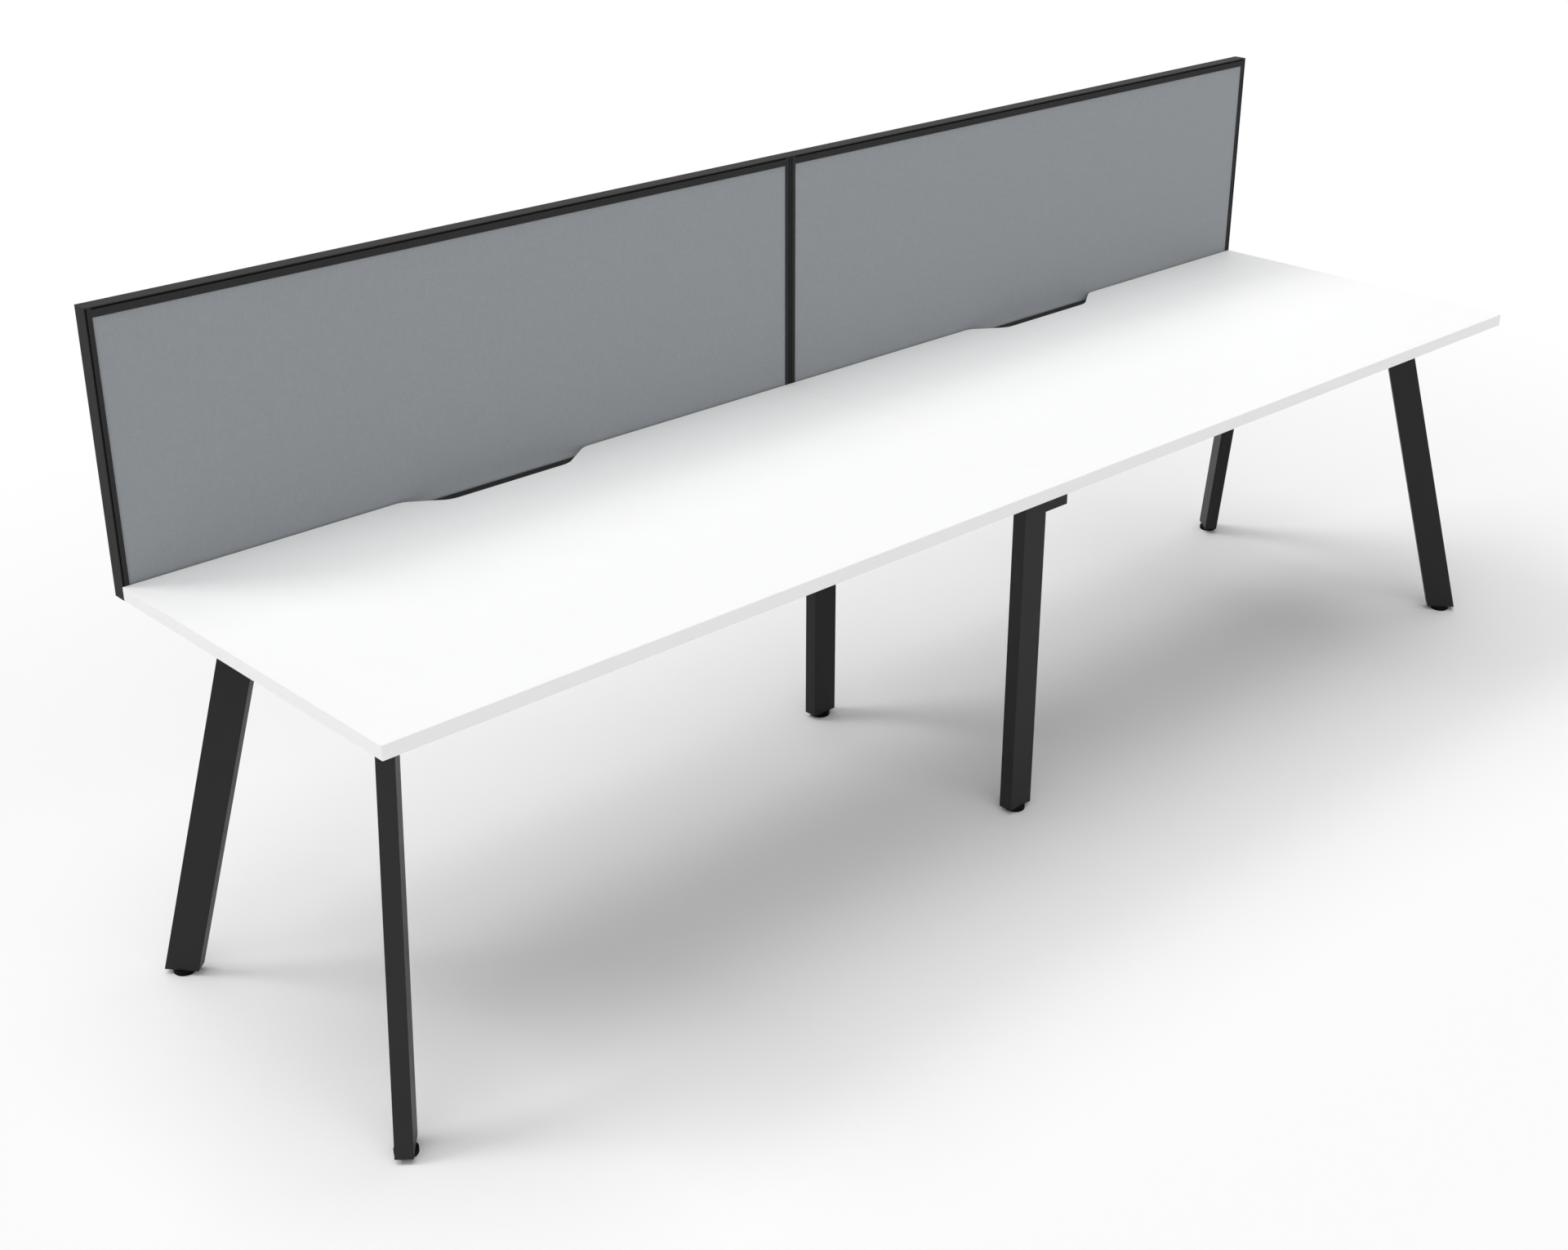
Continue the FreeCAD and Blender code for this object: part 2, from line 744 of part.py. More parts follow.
screen_corners = [(left, end, level) for left in screens.values() for end in SIDES for level in LEVELS]
nodes["screen_corner_tongues"] = group([corner_tongue(*corner) for corner in screen_corners])
nodes["screen_stile_caps"] = group([stile_cap(*corner) for corner in screen_corners])
nodes["screen_brackets"] = group([piece for left in screens.values() for piece in screen_brackets(left)])
nodes["screen_nut_plates"] = group([piece for left in screens.values() for piece in nut_plates(left)])
nodes["screen_bracket_screws"] = group([
    upright_screw(x, y, machine_screw, under_top + profile_web + tongue_size[0])
    for left in screens.values() for x, y in bracket_bolts(left)
])
nodes["top_screws"] = group([
    upright_screw(x, y, wood_screw, under_top + wood_screw["depth"]) for x, y in top_screw_places
])

os.makedirs("parts", exist_ok=True)
for name, shape in nodes.items():
    shape.exportStep(f"parts/{name}.step")
print(len(nodes), "nodes written")
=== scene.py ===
import json
import math

import bmesh
import bpy
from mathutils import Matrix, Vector


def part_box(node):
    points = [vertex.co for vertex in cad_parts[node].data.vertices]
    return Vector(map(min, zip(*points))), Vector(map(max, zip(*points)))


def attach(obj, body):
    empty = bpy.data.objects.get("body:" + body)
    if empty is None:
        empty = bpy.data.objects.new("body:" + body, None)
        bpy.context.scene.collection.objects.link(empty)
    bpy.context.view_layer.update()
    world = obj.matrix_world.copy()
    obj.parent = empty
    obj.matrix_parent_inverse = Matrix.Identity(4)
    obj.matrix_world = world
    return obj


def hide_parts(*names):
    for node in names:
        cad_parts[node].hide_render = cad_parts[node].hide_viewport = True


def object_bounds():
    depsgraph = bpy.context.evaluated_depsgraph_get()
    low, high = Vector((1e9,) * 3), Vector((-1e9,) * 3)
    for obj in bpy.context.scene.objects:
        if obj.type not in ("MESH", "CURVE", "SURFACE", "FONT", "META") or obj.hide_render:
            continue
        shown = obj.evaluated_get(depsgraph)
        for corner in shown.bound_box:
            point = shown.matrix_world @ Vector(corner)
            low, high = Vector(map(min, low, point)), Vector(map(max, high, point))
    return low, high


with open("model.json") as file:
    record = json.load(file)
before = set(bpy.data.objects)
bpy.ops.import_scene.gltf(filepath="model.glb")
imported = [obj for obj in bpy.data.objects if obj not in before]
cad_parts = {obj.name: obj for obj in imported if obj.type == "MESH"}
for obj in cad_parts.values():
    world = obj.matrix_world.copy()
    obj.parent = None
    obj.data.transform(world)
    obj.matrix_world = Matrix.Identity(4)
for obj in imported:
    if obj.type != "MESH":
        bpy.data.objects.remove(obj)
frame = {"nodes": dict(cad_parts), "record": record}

bl_info = {
    "name": "Single-sided office workstation",
    "version": (1, 0, 0),
    "blender": (4, 5, 0),
    "location": "3D View > Sidebar > Workstation",
    "description": "Dresses the workstation's solids with cloth, fasteners, finishes and a studio",
    "category": "Object",
}

NODES = frame["nodes"]
CAD_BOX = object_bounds()
DESK = "workstation"
SIDES = ("left", "right")
FEET = ("left_front", "left_rear", "middle_front", "middle_rear", "right_front", "right_rear")
MM = 0.001


def linear(code):
    """Linear RGBA of an sRGB hex colour."""
    channels = [int(code[start:start + 2], 16) / 255 for start in (1, 3, 5)]
    return tuple(c / 12.92 if c <= 0.04045 else ((c + 0.055) / 1.055) ** 2.4 for c in channels) + (1.0,)


def shaded(colour, factor):
    """A linear colour made darker or lighter by a factor."""
    return tuple(channel * factor for channel in colour[:3]) + (1.0,)


def add_node(tree, kind, inputs=None, **settings):
    """Adds a node. inputs gives each named or numbered input a value, or an output to link from."""
    node = tree.nodes.new(kind)
    for name, value in settings.items():
        setattr(node, name, value)
    for key, value in (inputs or {}).items():
        if isinstance(value, bpy.types.NodeSocket):
            tree.links.new(value, node.inputs[key])
        else:
            node.inputs[key].default_value = value
    return node


# Settings


class WorkstationFinishes(bpy.types.PropertyGroup):
    """Colours of the workstation's materials."""

    top: bpy.props.FloatVectorProperty(
        name="Tops", description="Facing of the tops", subtype="COLOR", size=4, default=linear("#fafafa"))
    edge: bpy.props.FloatVectorProperty(
        name="Edge band", description="Band round the tops", subtype="COLOR", size=4,
        default=linear("#f5f5f5"))
    steel: bpy.props.FloatVectorProperty(
        name="Steel frame", description="Powder coat of the legs and rails", subtype="COLOR", size=4,
        default=linear("#232323"))
    profile: bpy.props.FloatVectorProperty(
        name="Screen frames", description="Coating of the screens' profiles", subtype="COLOR", size=4,
        default=linear("#333333"))
    cloth_warp: bpy.props.FloatVectorProperty(
        name="Cloth warp", description="Upright threads of the screens' cloth", subtype="COLOR", size=4,
        default=linear("#9da1a5"))
    cloth_weft: bpy.props.FloatVectorProperty(
        name="Cloth weft", description="Level threads of the screens' cloth", subtype="COLOR", size=4,
        default=linear("#909599"))
    plastic: bpy.props.FloatVectorProperty(
        name="Plastic", description="Pads and plugs of the feet", subtype="COLOR", size=4,
        default=linear("#040404"))
    zinc: bpy.props.FloatVectorProperty(
        name="Zinc", description="Plating of studs, screws and bolts", subtype="COLOR", size=4,
        default=linear("#c3c6c9"))


class WorkstationSizes(bpy.types.PropertyGroup):
    """Sizes of what is added to the solids."""

    stud_flats: bpy.props.FloatProperty(
        name="Stud head", description="Width across flats of a levelling stud's hexagon head",
        default=13 * MM, unit="LENGTH")
    thread_pitch: bpy.props.FloatProperty(
        name="Stud thread pitch", description="Rise of one turn of a levelling stud's thread",
        default=1.5 * MM, unit="LENGTH")
    thread_depth: bpy.props.FloatProperty(
        name="Stud thread depth", description="Depth of a levelling stud's thread",
        default=0.8 * MM, unit="LENGTH")
    cloth_thickness: bpy.props.FloatProperty(
        name="Cloth thickness", description="Thickness of the screens' cloth",
        default=0.8 * MM, unit="LENGTH")
    cloth_edge: bpy.props.FloatProperty(
        name="Cloth edge radius", description="Roundness of the cloth over the panel's edges",
        default=2.5 * MM, unit="LENGTH")
    yarn_spacing: bpy.props.FloatProperty(
        name="Yarn spacing", description="Distance between the threads of the screens' cloth",
        default=1.1 * MM, unit="LENGTH")


class WorkstationStudio(bpy.types.PropertyGroup):
    """Camera, floor and light."""

    camera_place: bpy.props.FloatVectorProperty(
        name="Camera place", description="Where the camera stands", subtype="TRANSLATION",
        default=(-2.9168, -2.7384, 2.1783))
    camera_pitch: bpy.props.FloatProperty(
        name="Camera pitch", description="How far the camera looks down", subtype="ANGLE",
        default=math.radians(25.096))
    camera_heading: bpy.props.FloatProperty(
        name="Camera heading", description="Turn of the camera's view from +Y towards +X", subtype="ANGLE",
        default=math.radians(43.239))
    lens: bpy.props.FloatProperty(
        name="Lens", description="Focal length on a 36 mm wide sensor", default=49.9, unit="CAMERA")
    dome: bpy.props.FloatProperty(
        name="Dome", description="Even light from all sides, as a share of the light on a level surface",
        default=0.03)
    overhead: bpy.props.FloatProperty(
        name="Overhead", description="Soft lamp straight above, as such a share", default=0.57)
    key: bpy.props.FloatProperty(
        name="Key", description="Soft lamp behind the screens to the left, as such a share", default=0.19)
    front: bpy.props.FloatProperty(
        name="Front", description="Wide low lamp from the front, as such a share", default=0.112)
    left: bpy.props.FloatProperty(
        name="Left", description="Wide lamp from the left and front, as such a share", default=0.105)
    # The near floor colour is darker than the far floor's: painted shade round the desk.
    floor: bpy.props.FloatVectorProperty(
        name="Floor", description="Floor colour under and near the desk", subtype="COLOR", size=4,
        default=linear("#f6f6f6"))
    far_floor: bpy.props.FloatVectorProperty(
        name="Far floor", description="Floor colour away from the desk", subtype="COLOR", size=4,
        default=linear("#fefefe"))
    fade_start: bpy.props.FloatProperty(
        name="Fade start", description="Distance from the desk at which the floor begins to grow whiter",
        default=0.3, unit="LENGTH")
    fade_end: bpy.props.FloatProperty(
        name="Fade end", description="Distance from the desk at which the floor is the far floor's colour",
        default=2.7, unit="LENGTH")


GROUPS = {
    "workstation_finishes": WorkstationFinishes,
    "workstation_sizes": WorkstationSizes,
    "workstation_studio": WorkstationStudio,
}


def values_of(group):
    """The scene's values of one of the groups."""
    return getattr(bpy.context.scene, group)


# Materials


def blank_material(name):
    """A material with an empty node tree, and its object coordinates in metres."""
    material = bpy.data.materials.new(name)
    material.use_nodes = True
    tree = material.node_tree
    tree.nodes.clear()
    place = add_node(tree, "ShaderNodeTexCoord").outputs["Object"]
    return material, tree, place


def cells(size):
    """Noise scale whose lumps are about size metres across."""
    return 1 / size


def white_facing(colour, name, pearl):
    """Melamine paper pressed on chipboard, or the matching ABS band: an even white with a soft, broken gloss.

    The press plate's pearl is about 0.4 mm on the real board and is drawn coarser, so that it shows.
    """
    material, tree, place = blank_material(name)
    tone = add_node(tree, "ShaderNodeTexNoise", {"Vector": place, "Scale": cells(90 * MM), "Detail": 3.0})
    shade = add_node(tree, "ShaderNodeMix", {
        0: tone.outputs["Fac"], 6: shaded(colour, 0.975), 7: tuple(colour)}, data_type="RGBA")
    grain = add_node(tree, "ShaderNodeTexNoise", {"Vector": place, "Scale": cells(pearl), "Detail": 2.0})
    gloss = add_node(tree, "ShaderNodeMapRange", {
        "Value": grain.outputs["Fac"], "To Min": 0.48, "To Max": 0.60})
    bump = add_node(tree, "ShaderNodeBump", {
        "Height": grain.outputs["Fac"], "Strength": 0.12, "Distance": 0.15 * MM})
    surface = add_node(tree, "ShaderNodeBsdfPrincipled", {
        "Base Color": shade.outputs[2], "Roughness": gloss.outputs["Result"], "Specular IOR Level": 0.25,
        "Normal": bump.outputs["Normal"]})
    add_node(tree, "ShaderNodeOutputMaterial", {"Surface": surface.outputs["BSDF"]})
    return material


def powder_coat(colour, name, peel):
    """Black powder coat baked on steel: nearly black, with a fine orange peel that breaks up its sheen."""
    material, tree, place = blank_material(name)
    lumps = add_node(tree, "ShaderNodeTexNoise", {"Vector": place, "Scale": cells(peel), "Detail": 2.0})
    drift = add_node(tree, "ShaderNodeTexNoise", {"Vector": place, "Scale": cells(60 * MM), "Detail": 4.0})
    shade = add_node(tree, "ShaderNodeMix", {
        0: drift.outputs["Fac"], 6: shaded(colour, 0.88), 7: shaded(colour, 1.12)}, data_type="RGBA")
    gloss = add_node(tree, "ShaderNodeMapRange", {
        "Value": drift.outputs["Fac"], "To Min": 0.40, "To Max": 0.50})
    bump = add_node(tree, "ShaderNodeBump", {
        "Height": lumps.outputs["Fac"], "Strength": 0.25, "Distance": 0.2 * MM})
    surface = add_node(tree, "ShaderNodeBsdfPrincipled", {
        "Base Color": shade.outputs[2], "Roughness": gloss.outputs["Result"], "Specular IOR Level": 0.15,
        "Normal": bump.outputs["Normal"]})
    add_node(tree, "ShaderNodeOutputMaterial", {"Surface": surface.outputs["BSDF"]})
    return material


def drawn_profile(colour, name, stretch):
    """Extruded aluminium with a satin black coating: faint drawing lines run along the bar under the coat.

    The lines are a few tenths of a millimetre apart on the real bar and are drawn coarser, so that they show.
    """
    material, tree, place = blank_material(name)
    along = add_node(tree, "ShaderNodeMapping", {"Vector": place, "Scale": stretch})
    lines = add_node(tree, "ShaderNodeTexNoise", {
        "Vector": along.outputs["Vector"], "Scale": cells(1.2 * MM), "Detail": 3.0})
    drift = add_node(tree, "ShaderNodeTexNoise", {"Vector": place, "Scale": cells(80 * MM), "Detail": 3.0})
    shade = add_node(tree, "ShaderNodeMix", {
        0: drift.outputs["Fac"], 6: shaded(colour, 0.9), 7: shaded(colour, 1.1)}, data_type="RGBA")
    gloss = add_node(tree, "ShaderNodeMapRange", {
        "Value": lines.outputs["Fac"], "To Min": 0.50, "To Max": 0.62})
    bump = add_node(tree, "ShaderNodeBump", {
        "Height": lines.outputs["Fac"], "Strength": 0.12, "Distance": 0.1 * MM})
    surface = add_node(tree, "ShaderNodeBsdfPrincipled", {
        "Base Color": shade.outputs[2], "Roughness": gloss.outputs["Result"], "Specular IOR Level": 0.03,
        "Normal": bump.outputs["Normal"]})
    add_node(tree, "ShaderNodeOutputMaterial", {"Surface": surface.outputs["BSDF"]})
    return material


def woven_polyester(warp, weft, spacing):
    """Plain-woven cloth of grey polyester yarn: upright and level threads pass over each other in turn.

    The yarn is spun from fibres of several greys, so threads differ a little along their length and the cloth
    looks slightly mottled from a few metres away.
    """
    slub = 0.04  # noise this much flatter along a thread makes a thick place about 25 threads long
    material, tree, place = blank_material("Woven polyester screen cloth")
    counted = add_node(tree, "ShaderNodeVectorMath", {0: place, 3: 1 / spacing}, operation="SCALE")
    split = add_node(tree, "ShaderNodeSeparateXYZ", {0: counted.outputs["Vector"]})
    across = split.outputs["X"]
    up = split.outputs["Z"]
    square = add_node(tree, "ShaderNodeCombineXYZ", {"X": across, "Y": 0.5, "Z": up})
    over = add_node(tree, "ShaderNodeTexChecker", {"Vector": square.outputs["Vector"], "Scale": 1.0})
    ridges = []
    for count in (across, up):
        turn = add_node(tree, "ShaderNodeMath", {0: count, 1: math.pi}, operation="MULTIPLY")
        wave = add_node(tree, "ShaderNodeMath", {0: turn.outputs["Value"]}, operation="SINE")
        ridges.append(add_node(tree, "ShaderNodeMath", {0: wave.outputs["Value"]}, operation="ABSOLUTE"))
    height = add_node(tree, "ShaderNodeMix", {
        0: over.outputs["Fac"], 2: ridges[1].outputs["Value"], 3: ridges[0].outputs["Value"],
    }, data_type="FLOAT")
    yarns = []
    for colour, stretch in ((warp, (1.0, 1.0, slub)), (weft, (slub, 1.0, 1.0))):
        drawn_out = add_node(tree, "ShaderNodeMapping", {
            "Vector": square.outputs["Vector"], "Scale": stretch})
        thick = add_node(tree, "ShaderNodeTexNoise", {
            "Vector": drawn_out.outputs["Vector"], "Scale": 1.3, "Detail": 2.0})
        yarns.append(add_node(tree, "ShaderNodeMix", {
            0: thick.outputs["Fac"], 6: shaded(colour, 0.87), 7: shaded(colour, 1.13)}, data_type="RGBA"))
    cloth = add_node(tree, "ShaderNodeMix", {
        0: over.outputs["Fac"], 6: yarns[1].outputs[2], 7: yarns[0].outputs[2]}, data_type="RGBA")
    mottle = add_node(tree, "ShaderNodeTexNoise", {"Vector": place, "Scale": cells(5 * MM), "Detail": 4.0})
    cloud = add_node(tree, "ShaderNodeMapRange", {
        "Value": mottle.outputs["Fac"], "To Min": 0.94, "To Max": 1.06})
    shade = add_node(tree, "ShaderNodeVectorMath", {
        0: cloth.outputs[2], 3: cloud.outputs["Result"]}, operation="SCALE")
    bump = add_node(tree, "ShaderNodeBump", {
        "Height": height.outputs[0], "Strength": 0.5, "Distance": 0.25 * MM})
    surface = add_node(tree, "ShaderNodeBsdfPrincipled", {
        "Base Color": shade.outputs["Vector"], "Normal": bump.outputs["Normal"], "Roughness": 0.95,
        "Specular IOR Level": 0.2, "Sheen Weight": 0.12, "Sheen Roughness": 0.5})
    add_node(tree, "ShaderNodeOutputMaterial", {"Surface": surface.outputs["BSDF"]})
    return material


def moulded_nylon(colour):
    """Injection-moulded black nylon: a spark-eroded mould leaves a fine matt grain, and it reflects little.

    The grain is about 0.1 mm on the real part and is drawn coarser, so that it shows.
    """
    material, tree, place = blank_material("Moulded black nylon")
    grain = add_node(tree, "ShaderNodeTexNoise", {"Vector": place, "Scale": cells(0.5 * MM), "Detail": 3.0})
    drift = add_node(tree, "ShaderNodeTexNoise", {"Vector": place, "Scale": cells(12 * MM), "Detail": 2.0})
    shade = add_node(tree, "ShaderNodeMix", {
        0: drift.outputs["Fac"], 6: shaded(colour, 0.7), 7: shaded(colour, 1.4)}, data_type="RGBA")
    gloss = add_node(tree, "ShaderNodeMapRange", {
        "Value": grain.outputs["Fac"], "To Min": 0.45, "To Max": 0.65})
    bump = add_node(tree, "ShaderNodeBump", {
        "Height": grain.outputs["Fac"], "Strength": 0.3, "Distance": 0.1 * MM})
    surface = add_node(tree, "ShaderNodeBsdfPrincipled", {
        "Base Color": shade.outputs[2], "Roughness": gloss.outputs["Result"], "Specular IOR Level": 0.06,
        "Normal": bump.outputs["Normal"]})
    add_node(tree, "ShaderNodeOutputMaterial", {"Surface": surface.outputs["BSDF"]})
    return material


def zinc_plate(colour, name):
    """Bright zinc-plated steel: a clean grey metal with faint crystal patches and a slightly uneven gloss."""
    material, tree, place = blank_material(name)
    patches = add_node(tree, "ShaderNodeTexVoronoi", {"Vector": place, "Scale": cells(1.5 * MM)})
    split = add_node(tree, "ShaderNodeSeparateColor", {"Color": patches.outputs["Color"]})
    shade = add_node(tree, "ShaderNodeMix", {
        0: split.outputs["Red"], 6: shaded(colour, 0.85), 7: tuple(colour)}, data_type="RGBA")
    haze = add_node(tree, "ShaderNodeTexNoise", {"Vector": place, "Scale": cells(4 * MM), "Detail": 4.0})
    gloss = add_node(tree, "ShaderNodeMapRange", {
        "Value": haze.outputs["Fac"], "To Min": 0.24, "To Max": 0.42})
    surface = add_node(tree, "ShaderNodeBsdfPrincipled", {
        "Base Color": shade.outputs[2], "Roughness": gloss.outputs["Result"], "Metallic": 1.0})
    add_node(tree, "ShaderNodeOutputMaterial", {"Surface": surface.outputs["BSDF"]})
    return material


def shared_zinc():
    """The zinc finish that the feet and the fasteners share, made once."""
    name = "Zinc-plated steel"
    return bpy.data.materials.get(name) or zinc_plate(values_of("workstation_finishes").zinc, name)


def raw_fibreboard():
    """Pressed wood fibre, uncoated: a dull brown felt of short fibres, seen only inside the screens."""
    material, tree, place = blank_material("Raw fibreboard")
    fibres = add_node(tree, "ShaderNodeTexNoise", {
        "Vector": place, "Scale": cells(2 * MM), "Detail": 6.0, "Distortion": 1.5})
    shade = add_node(tree, "ShaderNodeMix", {
        0: fibres.outputs["Fac"], 6: linear("#7d6242"), 7: linear("#b3946a")}, data_type="RGBA")
    bump = add_node(tree, "ShaderNodeBump", {
        "Height": fibres.outputs["Fac"], "Strength": 0.3, "Distance": 0.2 * MM})
    surface = add_node(tree, "ShaderNodeBsdfPrincipled", {
        "Base Color": shade.outputs[2], "Normal": bump.outputs["Normal"], "Roughness": 0.9})
    add_node(tree, "ShaderNodeOutputMaterial", {"Surface": surface.outputs["BSDF"]})
    return material


def dress(material, *names):
    """Gives CAD nodes their finish."""
    for name in names:
        mesh = NODES[name].data
        mesh.materials.clear()
        mesh.materials.append(material)


# Pieces


def new_piece(name, mesh):
    """An object at the origin, with its place in its mesh."""
    piece = bpy.data.objects.new(name, mesh)
    bpy.context.scene.collection.objects.link(piece)
    return piece


def hand_over(piece, body, slot, *replaced):
    """The piece rides on its body and stands for the CAD nodes it replaces. slot is not used."""
    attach(piece, body)
    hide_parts(*replaced)


def solids_of(name):
    """Corner points of each separate solid of a CAD node, as lists of vectors."""
    mesh = NODES[name].data
    keys = [tuple(round(c, 6) for c in vertex.co) for vertex in mesh.vertices]
    parent = {key: key for key in keys}

    def root(key):
        while parent[key] != key:
            parent[key] = parent[parent[key]]
            key = parent[key]
        return key

    for polygon in mesh.polygons:
        first = root(keys[polygon.vertices[0]])
        for index in polygon.vertices[1:]:
            parent[root(keys[index])] = first
    found = {}
    for key in parent:
        found.setdefault(root(key), []).append(Vector(key))
    return list(found.values())


def box_of(points):
    """Lowest and highest corner of some points."""
    lowest = Vector(min(point[axis] for point in points) for axis in range(3))
    highest = Vector(max(point[axis] for point in points) for axis in range(3))
    return lowest, highest


# Cloth

CLOTH_STEP = 12 * MM
CLOTH_EASE = 0.12 * MM


def cloth_lines(start, end, radius, depth):
    """Stations across a panel as (place, set-back): round one edge, across the face, round the other."""
    arc_steps = 4
    rounded = []
    for step in range(arc_steps + 1):
        angle = math.pi / 2 * step / arc_steps
        rounded.append((radius * (1 - math.cos(angle)), radius * (1 - math.sin(angle))))
    edge = [(0.0, depth)] + rounded
    width = end - start - 2 * radius
    count = max(2, round(width / CLOTH_STEP))
    face = [(start + radius + width * step / count, 0.0) for step in range(1, count)]
    first = [(start + inset, set_back) for inset, set_back in edge]
    last = [(end - inset, set_back) for inset, set_back in reversed(edge)]
    return first + face + last


def slack(x, z):
    """How far the cloth lies back on its face: two shallow waves, about half a metre long, that cross."""
    return CLOTH_EASE * (1 + math.sin(9.1 * x + 4.3 * z) * math.sin(13.7 * z - 2.9 * x))


def stretched_cloth(name, node, outward, thickness, radius):
    """Cloth drawn over one face of a screen's panel and turned in round its edges."""
    lowest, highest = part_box(node)
    depth = highest.y - lowest.y
    face_y = lowest.y if outward < 0 else highest.y
    columns = cloth_lines(lowest.x, highest.x, radius, depth)
    rows = cloth_lines(lowest.z, highest.z, radius, depth)
    bm = bmesh.new()
    grid = []
    for z, z_back in rows:
        line = []
        for x, x_back in columns:
            on_face = x_back == 0 and z_back == 0
            set_back = slack(x, z) if on_face else max(x_back, z_back)
            line.append(bm.verts.new((x, face_y - outward * set_back, z)))
        grid.append(line)
    for low, high in zip(grid, grid[1:]):
        for index in range(len(columns) - 1):
            corners = [low[index], low[index + 1], high[index + 1], high[index]]
            bm.faces.new(corners if outward < 0 else corners[::-1])
    for face in bm.faces:
        face.smooth = True
    mesh = bpy.data.meshes.new(name)
    bm.to_mesh(mesh)
    bm.free()
    piece = new_piece(name, mesh)
    solidify = piece.modifiers.new("Cloth thickness", "SOLIDIFY")
    solidify.thickness = thickness
    solidify.offset = -1.0
    return piece


# Geometry node trees

HEXAGON = 6
SEGMENTS = 48
ROD_SEGMENTS = 32
ROWS_PER_TURN = 8


def start_tree(name, *sockets):
    """A geometry tree with an output and the named inputs, and its input node."""
    tree = bpy.data.node_groups.new(name, "GeometryNodeTree")
    for label, kind in sockets:
        tree.interface.new_socket(label, in_out="INPUT", socket_type=kind)
    tree.interface.new_socket("Geometry", in_out="OUTPUT", socket_type="NodeSocketGeometry")
    return tree, add_node(tree, "NodeGroupInput")


def grown(name, tree, mesh, inputs):
    """A piece whose mesh a geometry tree makes from mesh and the named inputs."""
    piece = new_piece(name, mesh)
    modifier = piece.modifiers.new(tree.name, "NODES")
    modifier.node_group = tree
    for item in tree.interface.items_tree:
        if item.in_out == "INPUT" and item.name in inputs:
            modifier[item.identifier] = inputs[item.name]
    evaluated = piece.evaluated_get(bpy.context.evaluated_depsgraph_get())
    result = bpy.data.meshes.new_from_object(evaluated)
    piece.modifiers.remove(modifier)
    piece.data = result
    result.name = name
    if not result.polygons:
        raise RuntimeError(f"{name} has no faces")
    return piece


